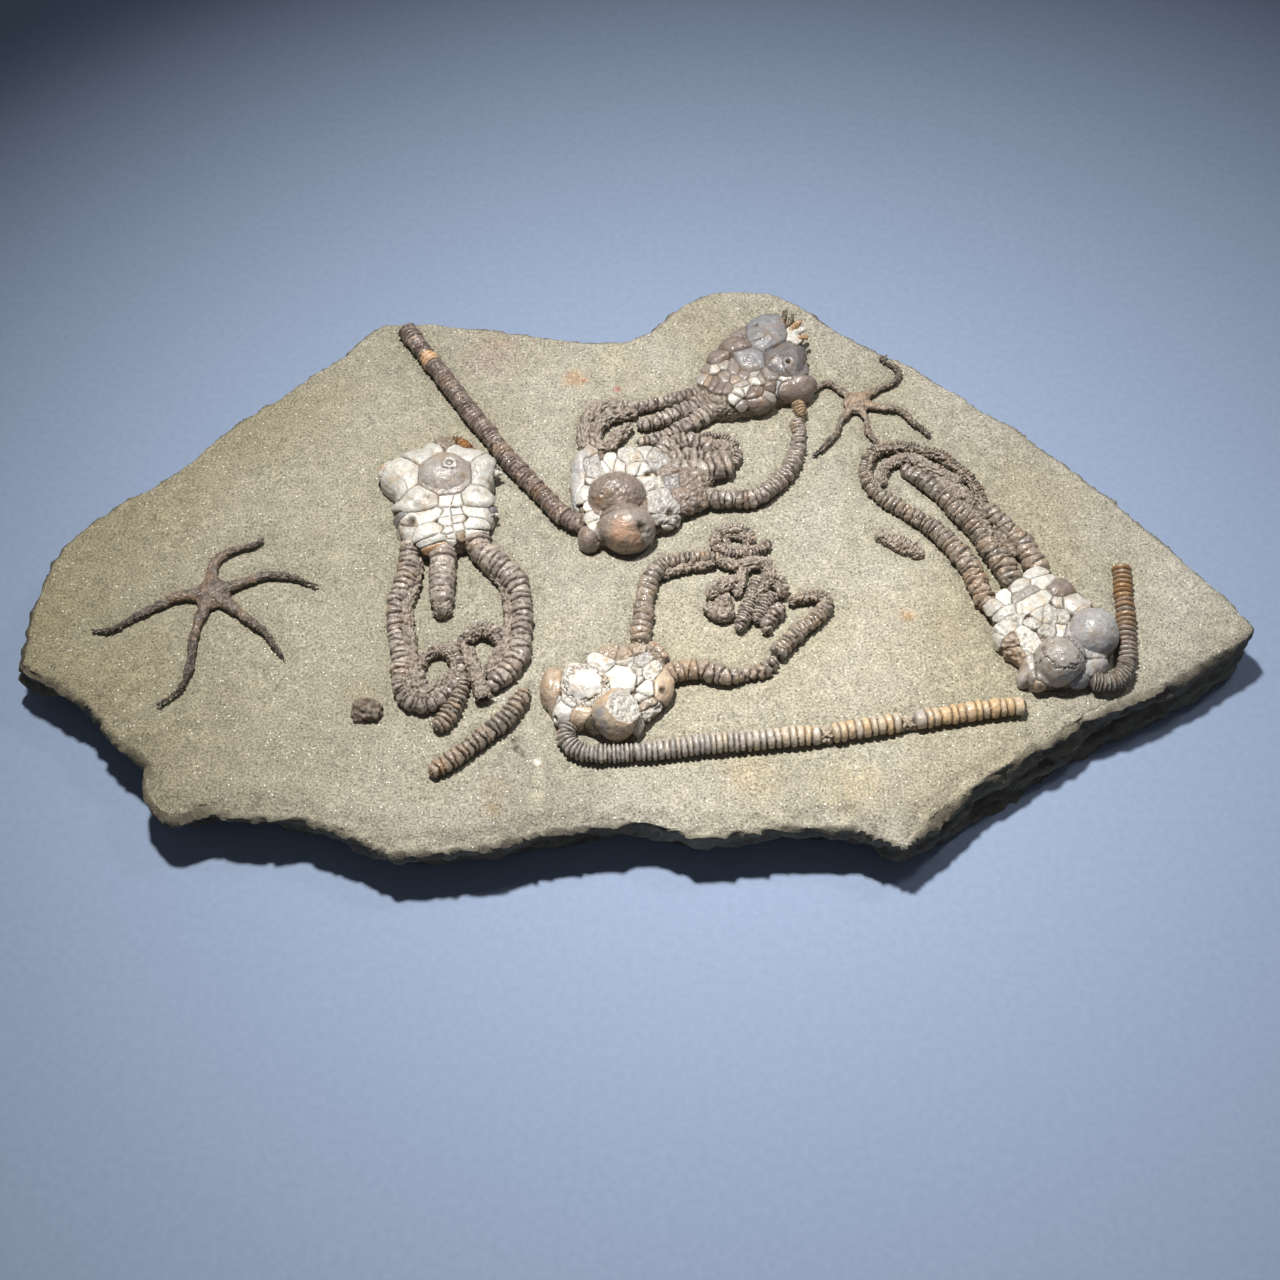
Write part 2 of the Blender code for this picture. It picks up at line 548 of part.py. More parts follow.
def fattened_copy(obj, cutters):
    """A copy of a piece grown by the clearance on every side."""
    bm = bmesh.new()
    bm.from_mesh(obj.data)
    bm.normal_update()
    moves = [(vert, vert.normal * vert.calc_shell_factor()) for vert in bm.verts]
    for vert, normal in moves:
        vert.co += normal * GAP * MM * 1.15
    mesh = bpy.data.meshes.new("clearance")
    bm.to_mesh(mesh)
    bm.free()
    copy = bpy.data.objects.new("clearance", mesh)
    copy.hide_render = True
    copy.display_type = "WIRE"
    cutters.objects.link(copy)
    return copy


def surface_tree(obj):
    bm = bmesh.new()
    bm.from_mesh(obj.data)
    tree = BVHTree.FromBMesh(bm)
    bm.free()
    return tree


def keep_clear(pieces, cutters):
    """Cut each piece back from every earlier one that it would touch."""
    for i, first in enumerate(pieces):
        fat = fattened_copy(first, cutters)
        fat_tree = surface_tree(fat)
        for later in pieces[i + 1:]:
            if fat_tree.overlap(surface_tree(later)):
                boolean(later, fat, "DIFFERENCE")
                tidy_solid(later)
        bpy.data.objects.remove(fat)


def join_tubes(name, routes, finish, coll, cutters, ring, groove, extra=None):
    """Several tubes, and a lump if given, joined into one solid with a level base."""
    solids = [tube_mesh(points, ring, groove) for points in routes]
    if extra:
        solids.insert(0, extra)
    base = add_object(name, solids[0], finish, coll)
    for bm in solids[1:]:
        piece = add_object("joined", bm, finish, cutters)
        boolean(base, piece, "UNION")
        bpy.data.objects.remove(piece)
    bm = bmesh.new()
    bm.from_mesh(base.data)
    flatten_base(bm)
    bm.to_mesh(base.data)
    bm.free()
    tidy_solid(base)
    return base


def disc_mesh(x, y, radius):
    """The low round body of a brittle star."""
    bm = bmesh.new()
    bmesh.ops.create_uvsphere(bm, u_segments=12, v_segments=6, radius=1.0)
    for vert in bm.verts:
        vert.co = in_metres(x + vert.co.x * radius, y + vert.co.y * radius,
                            vert.co.z * radius * 0.45)
    return bm


def spiral_route():
    """Tail, then a closing spiral anticlockwise from its right side."""
    route = [(x, y, COIL_WIDTH) for x, y in COIL_TAIL]
    for k in range(1, COIL_STEPS + 1):
        share = k / COIL_STEPS
        angle = math.radians(35) + COIL_TURNS * 2 * math.pi * share
        shrink = 1 + (COIL_INNER - 1) * share
        route.append((COIL_MIDDLE[0] + COIL_OUTER[0] * shrink * math.cos(angle),
                      COIL_MIDDLE[1] + COIL_OUTER[1] * shrink * math.sin(angle),
                      COIL_WIDTH * (1.1 - 0.3 * share)))
    return route


# Slab -------------------------------------------------------------------------------

def broken_outline():
    """The outline with its long sides broken into short, slightly uneven runs."""
    points = []
    for a, b in zip(OUTLINE, OUTLINE[1:] + OUTLINE[:1]):
        a, b = Vector(a), Vector(b)
        runs = max(1, math.ceil((b - a).length / LEDGE_STEP))
        side = Vector((a.y - b.y, b.x - a.x)).normalized()
        for k in range(runs):
            point = a.lerp(b, k / runs)
            if k:
                point -= side * 0.9 * (1 + noise.noise(Vector((*point, 3.7)) * 0.13))
            points.append(point)
    return points


def inward(points, i):
    """Unit direction into the slab at one outline point (outline runs clockwise)."""
    along = points[(i + 1) % len(points)] - points[i - 1]
    return Vector((along.y, -along.x)).normalized()


def undercut_share(point):
    """1 along the near edge, where the slab is broken back under itself, else 0."""
    if point.y > UNDERCUT_FROM_Y or point.x > LEAN_FROM_X:
        return 0.0
    return min(1.0, (UNDERCUT_FROM_Y - point.y) / UNDERCUT_FADE)


def lean_share(point):
    """1 along the near right side, where the slab leans out to its foot, else 0."""
    if point.y > LEAN_BELOW_Y:
        return 0.0
    return max(0.0, min(1.0, (point.x - LEAN_FROM_X) / LEAN_FADE,
                        (LEAN_TO_X - point.x) / LEAN_FADE))


def make_slab(coll):
    """Lofted rings for the broken sides, with the thin left end cut to a slope."""
    outline = broken_outline()
    bm = bmesh.new()
    rings = []
    top_level = (SLAB_THICK, ARRIS, ARRIS, ARRIS)
    for level, (height, under, lean, plain) in enumerate([top_level] + SIDE_LEVELS):
        ring = []
        for i, point in enumerate(outline):
            near, right = undercut_share(point), lean_share(point)
            step_in = under * near + lean * right + plain * (1 - near - right)
            if 1 < level:
                step_in *= 0.9 + 0.5 * noise.noise(Vector((point.x, point.y,
                                                           level * 40)) * 0.05)
            place = point + inward(outline, i) * step_in
            ring.append(bm.verts.new((place.x * MM, place.y * MM, height * MM)))
        rings.append(ring)
    for upper, lower in zip(rings, rings[1:]):
        for i in range(len(outline)):
            j = (i + 1) % len(outline)
            bm.faces.new((upper[i], upper[j], lower[j], lower[i]))
    bm.faces.new(list(reversed(rings[0])))
    bm.faces.new(rings[-1])
    bmesh.ops.recalc_face_normals(bm, faces=bm.faces[:])

    run = THIN_FROM_X - LEFT_TIP_X
    rise = SLAB_THICK - LEFT_END_THICK
    slope = Vector((rise, 0, run)).normalized()
    everything = bm.verts[:] + bm.edges[:] + bm.faces[:]
    bmesh.ops.bisect_plane(bm, geom=everything, dist=MERGE,
                           plane_co=(THIN_FROM_X * MM, 0, 0), plane_no=slope,
                           clear_inner=True)
    rim = [edge for edge in bm.edges if edge.is_boundary]
    bmesh.ops.holes_fill(bm, edges=rim, sides=0)
    bmesh.ops.recalc_face_normals(bm, faces=bm.faces[:])
    return add_object("slab", bm, "siltstone", coll)


def make_crust(coll):
    """A small lump with an uneven surface."""
    x, y, height, rx, ry, rz = CRUST
    bm = bmesh.new()
    bmesh.ops.create_icosphere(bm, subdivisions=2, radius=1.0)
    for vert in bm.verts:
        rough = 1 + 0.22 * noise.noise(vert.co * 2.3)
        vert.co = in_metres(x + vert.co.x * rx * rough, y + vert.co.y * ry * rough,
                            height + vert.co.z * rz * rough)
    flatten_base(bm)
    return add_object("crusted_lump", bm, "crust", coll)


def main():
    for obj in list(bpy.data.objects):
        bpy.data.objects.remove(obj)
    coll = make_collection("crinoid_fossil")
    cutters = make_collection("cutters")

    make_slab(coll)
    pieces = []
    for name, (core, plates) in CUPS.items():
        pieces.append(make_cup(name, core, plates, coll))
    for name, points in STEMS.items():
        finish = "tan_calcite" if name in TAN_STEMS else "dark_calcite"
        pieces.append(make_tube(name, points, finish, coll, STEM_RING, STEM_GROOVE,
                                STEM_BEVEL))
    for name, points in ARMS.items():
        pieces.append(make_tube(name, points, "dark_calcite", coll, ARM_RING,
                                ARM_GROOVE))
    for name, points in STRANDS.items():
        pieces.append(make_tube(name, points, "dark_calcite", coll, STRAND_RING,
                                ARM_GROOVE))
    pieces.append(make_tube("crinoid_d_coil", spiral_route(), "dark_calcite", coll,
                            ARM_RING, 1.0))
    pieces.append(join_tubes("crinoid_d_tangle", TANGLE, "dark_calcite", coll,
                             cutters, STRAND_RING, ARM_GROOVE))
    for name, (disc, arms) in STARS.items():
        pieces.append(join_tubes(name, arms, "dark_calcite", coll, cutters,
                                 STAR_STEP * 2, 1.0, disc_mesh(*disc)))
    pieces.append(make_crust(coll))
    keep_clear(pieces, cutters)


main()
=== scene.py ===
"""Looks for a slab of siltstone with five crinoids, two brittle stars and loose
pieces standing out of its bedding face.

Lengths are in millimetres until a mesh is made, and heights of fossils are measured
from the bedding face.  +X runs along the slab, +Y to its far edge.
"""

import math

import bmesh
import bpy
import numpy as np
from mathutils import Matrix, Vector, kdtree, noise


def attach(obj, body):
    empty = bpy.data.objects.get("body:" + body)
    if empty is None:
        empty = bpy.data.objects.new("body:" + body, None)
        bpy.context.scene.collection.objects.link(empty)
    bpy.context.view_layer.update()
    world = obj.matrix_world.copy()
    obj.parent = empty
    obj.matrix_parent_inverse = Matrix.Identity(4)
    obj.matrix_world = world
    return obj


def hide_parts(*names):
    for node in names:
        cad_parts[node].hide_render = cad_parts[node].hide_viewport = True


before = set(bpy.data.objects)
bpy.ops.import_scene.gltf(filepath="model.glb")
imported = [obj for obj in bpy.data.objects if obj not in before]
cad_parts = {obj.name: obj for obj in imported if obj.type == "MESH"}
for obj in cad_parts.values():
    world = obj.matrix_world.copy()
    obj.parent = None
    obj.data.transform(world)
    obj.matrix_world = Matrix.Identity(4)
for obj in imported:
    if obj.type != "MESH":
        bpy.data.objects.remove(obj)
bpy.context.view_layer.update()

MM = 0.001
FACE = 20.0                 # height of the bedding face over the slab's underside
SUNK = 1.6                  # how far fossils go down into the stone
SLAB_GRID = 1.3             # how far apart the points of these pieces are
CUP_GRID = 0.31
STAR_GRID = 0.3
SEAM = 0.24                 # half the width of the seams between cup plates


# Camera, light, floor ---------------------------------------------------------------

def place_camera():
    """Looks down at 57 degrees from the near side, 0.6 m from the slab."""
    tilt = math.radians(57)
    back = Vector((0, -math.cos(tilt), math.sin(tilt)))
    data = bpy.data.cameras.new("camera")
    data.sensor_width = 36
    data.lens = 50
    data.clip_start = 0.01
    camera = bpy.data.objects.new("camera", data)
    camera.location = Vector((0, -0.038, 0.016)) + back * 0.60
    camera.rotation_euler = back.to_track_quat("Z", "Y").to_euler()
    bpy.context.scene.collection.objects.link(camera)
    bpy.context.scene.camera = camera


def add_light(name, place, aim, size, watts, colour, spread=180):
    data = bpy.data.lights.new(name, "AREA")
    data.shape = "DISK"
    data.size = size
    data.spread = math.radians(spread)
    data.energy = watts
    data.color = colour
    light = bpy.data.objects.new(name, data)
    light.location = place
    light.rotation_euler = (Vector(place) - Vector(aim)).to_track_quat("Z", "Y").to_euler()
    bpy.context.scene.collection.objects.link(light)


def place_lights():
    """A small soft key high behind the slab, one beside it, and a grey surround."""
    add_light("key", (-0.11, 0.17, 0.786), (0.035, -0.06, 0.016), 0.07, 1.52,
              (1, 0.985, 0.96), 66)
    add_light("side", (0.36, 0.22, 0.646), (0.06, -0.04, 0.016), 0.12, 0.22,
              (0.96, 0.98, 1), 90)
    add_light("fill", (0.1, -0.9, 0.886), (0, 0, 0.016), 1.3, 0.27, (0.93, 0.96, 1))
    world = bpy.data.worlds.new("surround")
    world.use_nodes = True
    shade = world.node_tree.nodes["Background"]
    shade.inputs["Color"].default_value = (0.80, 0.87, 1.0, 1)
    shade.inputs["Strength"].default_value = 0.09
    bpy.context.scene.world = world
    bpy.context.scene.view_settings.view_transform = "Standard"


# Materials --------------------------------------------------------------------------

def linear(hex_colour):
    """sRGB hex to linear RGBA."""
    channels = [int(hex_colour[i:i + 2], 16) / 255 for i in (1, 3, 5)]
    return [c / 12.92 if c <= 0.04045 else ((c + 0.055) / 1.055) ** 2.4
            for c in channels] + [1.0]


def add_node(tree, kind, inputs=None, ramp=None, **settings):
    """Adds a node with its settings and links.  An input is a value, a hex colour, a
    socket, or a node whose first live output is linked."""
    node = tree.nodes.new("ShaderNode" + kind)
    for name, value in settings.items():
        setattr(node, name, value)
    if ramp:
        stops = node.color_ramp.elements
        while len(stops) < len(ramp):
            stops.new(0.5)
        for stop, (place, colour) in zip(stops, ramp):
            stop.position = place
            stop.color = linear(colour) if isinstance(colour, str) else (*[colour] * 3, 1)
    for socket, value in (inputs or {}).items():
        if isinstance(value, bpy.types.Node):
            value = next(out for out in value.outputs if out.enabled)
        if isinstance(value, bpy.types.NodeSocket):
            tree.links.new(value, node.inputs[socket])
        else:
            node.inputs[socket].default_value = (linear(value) if isinstance(value, str)
                                                 else value)
    return node


def new_material(name, roughness, ior):
    mat = bpy.data.materials.new(name)
    mat.use_nodes = True
    shader = mat.node_tree.nodes["Principled BSDF"]
    shader.inputs["Roughness"].default_value = roughness
    shader.inputs["IOR"].default_value = ior
    return mat, mat.node_tree, shader


def link_surface(tree, shader, looks):
    """Links the finished colour, gloss and relief to the surface, each by its name."""
    for socket, node in looks.items():
        tree.links.new(next(out for out in node.outputs if out.enabled),
                       shader.inputs[socket])


# Stains and veins on the bedding face: x, y, solid radius, faded radius, colour, strength
STONE_MARKS = [
    (-41, -79, 0.4, 2.2, "#4A4238", 0.8), (-39.6, -82, 0.4, 2.2, "#4A4238", 0.8),
    (-37.6, -84.3, 0.3, 1.9, "#4A4238", 0.7), (-33, -87, 0.8, 1.9, "#E4DECD", 0.8),
    (-46, -97, 1.0, 5.5, "#8E7A5E", 0.55), (-46, -104, 1.0, 4.5, "#8A765A", 0.5),
    (-33, -92, 0.5, 3.5, "#C4BCA2", 0.5), (-33, -99, 0.5, 3.5, "#C4BCA2", 0.45),
    (-33, -105, 0.5, 3.5, "#C4BCA2", 0.4), (-56, 84, 3.0, 14, "#9C8B7E", 0.55),
    (-52, 92, 1.0, 6, "#A08A74", 0.4), (-24, 75, 2.6, 6.5, "#A8825A", 0.5),
    (-26.5, 76.5, 0.4, 2.0, "#9A6B45", 0.6), (-21, 74, 0.4, 1.8, "#9A6B45", 0.6),
    (-8.3, 69.7, 0.8, 1.9, "#A9796A", 0.7), (126, 8, 0.8, 3.2, "#B0793F", 0.5),
    (90, -31, 1.0, 4.0, "#B0844C", 0.45), (87, 24, 2.5, 7, "#5F5644", 0.55),
    (-15, 73, 0.5, 2.6, "#8A7F66", 0.6), (118, 44, 1.0, 5.0, "#8A7F66", 0.35),
    (-8, 88, 2, 12, "#B2A98C", 0.5), (-91.5, -62, 3, 9, "#8F866C", 0.4),
    (36, -92, 2, 12, "#B9A57B", 0.35), (68, -96, 3, 14, "#BBA97F", 0.35),
    (-45, -61, 2, 5.5, "#9C938A", 0.6), (-67, -34.5, 2, 5.5, "#8C8878", 0.6),
]


def siltstone():
    """Fine siltstone, split and prepared with needles: dull, sandy, with mica glints."""
    mat, tree, shader = new_material("split_siltstone", 0.9, 1.54)
    place = add_node(tree, "TexCoord").outputs["Object"]
    wear_and_shade = add_node(tree, "Attribute", attribute_name="wear_and_shade")
    wear_and_shade = add_node(tree, "SeparateColor", {0: wear_and_shade})
    broken, hollow, worked = (wear_and_shade.outputs[c] for c in ("Red", "Green", "Blue"))
    bedded = add_node(tree, "VectorMath", {0: place, 1: (1.0, 1.0, 5.0)},
                      operation="MULTIPLY")
    # drifts a few centimetres across, rust patches, 1.5 mm edges of stains, clots,
    # 0.3 mm sand grains drawn at 0.4 mm so that they show, pitting and beds
    drift, iron, ragged, clots, grain, coarse, layers = (
        add_node(tree, "TexNoise", {"Vector": across, "Scale": scale, "Detail": detail})
        for across, scale, detail in (
            (place, 18.0, 4.0), (place, 12.0, 3.0), (place, 330.0, 2.0), (place, 210.0, 3.0),
            (place, 1300.0, 2.0), (place, 240.0, 3.0), (bedded, 90.0, 5.0)))
    along = add_node(tree, "SeparateXYZ", {0: place})
    iron, ragged, grain, along = (
        add_node(tree, "MapRange", {0: source, 1: start, 2: stop, 3: low, 4: high})
        for source, start, stop, low, high in (
            (iron, 0.5, 0.75, 0.0, 0.6), (ragged, 0.35, 0.6, 0.3, 1.25),
            (grain, 0.32, 0.68, 0.61, 1.42), (along, -0.04, -0.2, 0.0, 0.75)))
    broken, worn = (add_node(tree, "Math", {0: share, 1: part}, operation="MULTIPLY")
                    for share, part in ((broken, 0.85), (worked, 0.45)))

    # warmer and darker towards the left end, its own tint with a painted fall-off of the light; paler
    # where it was worked with needles
    colour = add_node(tree, "ValToRGB", {0: drift},
                      ramp=[(0.3, "#918B7C"), (0.5, "#A09A8B"), (0.7, "#ACA698")])
    for share, stain in ((iron, "#9C8F70"), (along, "#887E60"), (worn, "#938E7A")):
        colour = add_node(tree, "Mix", {0: share, 6: colour, 7: stain}, data_type="RGBA")
    for x, y, inner, outer, stain, strength in STONE_MARKS:
        away = add_node(tree, "VectorMath", {0: place, 1: (x * MM, y * MM, FACE * MM)},
                        operation="DISTANCE")
        near = add_node(tree, "MapRange", {0: away.outputs["Value"], 1: inner * MM,
                                           2: outer * MM, 3: strength, 4: 0.0})
        near = add_node(tree, "Math", {0: near, 1: ragged}, operation="MULTIPLY",
                        use_clamp=True)
        colour = add_node(tree, "Mix", {0: near, 6: colour, 7: stain}, data_type="RGBA")
    clots = add_node(tree, "ValToRGB", {0: clots}, ramp=[(0.32, 0.82), (0.68, 1.05)])
    for shade in (clots, grain):
        colour = add_node(tree, "Mix", {0: 1.0, 6: colour, 7: shade}, data_type="RGBA",
                          blend_type="MULTIPLY")

    # dark grains about 1 mm across, in one of three cells of 1.6 mm
    fleck = add_node(tree, "TexVoronoi", {"Vector": place, "Scale": 620.0})
    chosen = add_node(tree, "SeparateColor", {0: fleck.outputs["Color"]})
    chosen = add_node(tree, "Math", {0: chosen, 1: 0.66}, operation="GREATER_THAN")
    dark_grain_and_pit_shade = add_node(tree, "MapRange", {0: fleck, 1: 0.18, 2: 0.3, 3: 0.75, 4: 0.0})
    dark_grain_and_pit_shade = add_node(tree, "Math", {0: dark_grain_and_pit_shade, 1: chosen}, operation="MULTIPLY")
    # mica flakes, in one of ten cells of 1.1 mm, painted near-white: their pale colour and a painted
    # glint
    flake = add_node(tree, "TexVoronoi", {"Vector": place, "Scale": 900.0})
    picked = add_node(tree, "SeparateColor", {0: flake.outputs["Color"]})
    picked = add_node(tree, "Math", {0: picked.outputs["Green"], 1: 0.9},
                      operation="GREATER_THAN")
    glint = add_node(tree, "Math", {0: flake, 1: 0.22}, operation="LESS_THAN")
    glint = add_node(tree, "Math", {0: glint, 1: picked}, operation="MULTIPLY")

    # the broken sides and the underside darker in bed layers: their own darker crust, and painted shade
    layers = add_node(tree, "ValToRGB", {0: layers}, ramp=[(0.3, "#2C2822"), (0.7, "#5E5747")])
    # crevices (hollow) painted near-black as shade
    for share, shade in ((dark_grain_and_pit_shade, "#585042"), (glint, "#EFEBDC"), (broken, layers),
                         (hollow, "#3A3226")):
        colour = add_node(tree, "Mix", {0: share, 6: colour, 7: shade}, data_type="RGBA")
    gloss = add_node(tree, "MapRange", {0: glint, 3: 0.9, 4: 0.3})
    rough = add_node(tree, "Math", {0: grain, 1: 0.5}, operation="MULTIPLY")
    relief = add_node(tree, "Math", {0: rough, 1: coarse}, operation="ADD")
    bump = add_node(tree, "Bump", {"Height": relief, "Strength": 1.0, "Distance": 0.45 * MM})
    link_surface(tree, shader, {"Base Color": colour, "Roughness": gloss, "Normal": bump})
    return mat


def fossil_calcite(name, shades, groove, roughness, own_colour=False):
    """Calcite plates etched out of the stone: a low polish on the crests, matrix and painted
    shade in the grooves.  shades run along the piece's tone; own_colour takes each plate's own."""
    mat, tree, shader = new_material(name, roughness, 1.57)
    place = add_node(tree, "TexCoord").outputs["Object"]
    wear_and_shade = add_node(tree, "Attribute", attribute_name="wear_and_shade")
    wear_and_shade = add_node(tree, "SeparateColor", {0: wear_and_shade})
    tone, recess_shade, grainy = (wear_and_shade.outputs[c] for c in ("Red", "Green", "Blue"))
    # growth of each plate, its 1 mm mottling, pores of 0.3 mm, rust, stone matted in the
    # fine branches, changes of polish, and a fine tooth
    growth, mottle, pores, rust, sandy, gloss, fine = (
        add_node(tree, "TexNoise", {"Vector": place, "Scale": scale, "Detail": detail})
        for scale, detail in ((300.0, 3.0), (460.0, 3.0), (1700.0, 3.0), (150.0, 3.0),
                              (620.0, 2.0), (560.0, 2.0), (1500.0, 2.0)))
    mottle, pores, rust, gloss = (
        add_node(tree, "MapRange", {0: source, 1: start, 2: stop, 3: low, 4: high})
        for source, start, stop, low, high in (
            (mottle, 0.3, 0.7, 0.82, 1.16), (pores, 0.3, 0.7, 0.86, 1.12),
            (rust, 0.56, 0.74, 0.0, 0.35),
            (gloss, 0.3, 0.7, roughness - 0.1, roughness + 0.16)))
    if own_colour:
        colour = add_node(tree, "Attribute", attribute_name="plate")
    else:
        uneven = add_node(tree, "MapRange", {0: growth, 1: 0.3, 2: 0.7, 3: -0.16, 4: 0.16})
        uneven = add_node(tree, "Math", {0: uneven, 1: tone}, operation="ADD",
                          use_clamp=True)
        colour = add_node(tree, "ValToRGB", {0: uneven},
                          ramp=[(i / (len(shades) - 1), c) for i, c in enumerate(shades)])
    for shade in (mottle, pores):
        colour = add_node(tree, "Mix", {0: 1.0, 6: colour, 7: shade}, data_type="RGBA",
                          blend_type="MULTIPLY")
    sandy = add_node(tree, "ValToRGB", {0: sandy}, ramp=[(0.36, "#6A5C50"), (0.64, "#A99C8C")])
    grainy = add_node(tree, "Math", {0: grainy, 1: 0.8}, operation="MULTIPLY")
    # the groove colour is painted where recess is high: shade over dark matrix in grooves and hollows
    for share, shade in ((rust, "#9C7347"), (grainy, sandy), (recess_shade, groove)):
        colour = add_node(tree, "Mix", {0: share, 6: colour, 7: shade}, data_type="RGBA")
    for share, part in ((recess_shade, 0.4), (grainy, 0.3)):
        gloss = add_node(tree, "Math", {0: share, 1: part, 2: gloss},
                         operation="MULTIPLY_ADD", use_clamp=True)
    relief = add_node(tree, "Math", {0: growth, 1: 1.6, 2: fine}, operation="MULTIPLY_ADD")
    bump = add_node(tree, "Bump", {"Height": relief, "Strength": 0.8, "Distance": 0.2 * MM})
    link_surface(tree, shader, {"Base Color": colour, "Roughness": gloss, "Normal": bump})
    return mat


def paper_floor():
    """Pale studio paper: matt, with a faint fibre mottle."""
    mat, tree, shader = new_material("studio_paper", 0.8, 1.5)
    place = add_node(tree, "TexCoord").outputs["Object"]
    fibre = add_node(tree, "TexNoise", {"Vector": place, "Scale": 400.0})
    colour = add_node(tree, "ValToRGB", {0: fibre}, ramp=[(0.3, "#8392AB"), (0.7, "#8897B0")])
    bump = add_node(tree, "Bump", {"Height": fibre, "Strength": 0.1, "Distance": 0.1 * MM})
    link_surface(tree, shader, {"Base Color": colour, "Normal": bump})
    return mat


# Stems, arms and matted branches -----------------------------------------------------

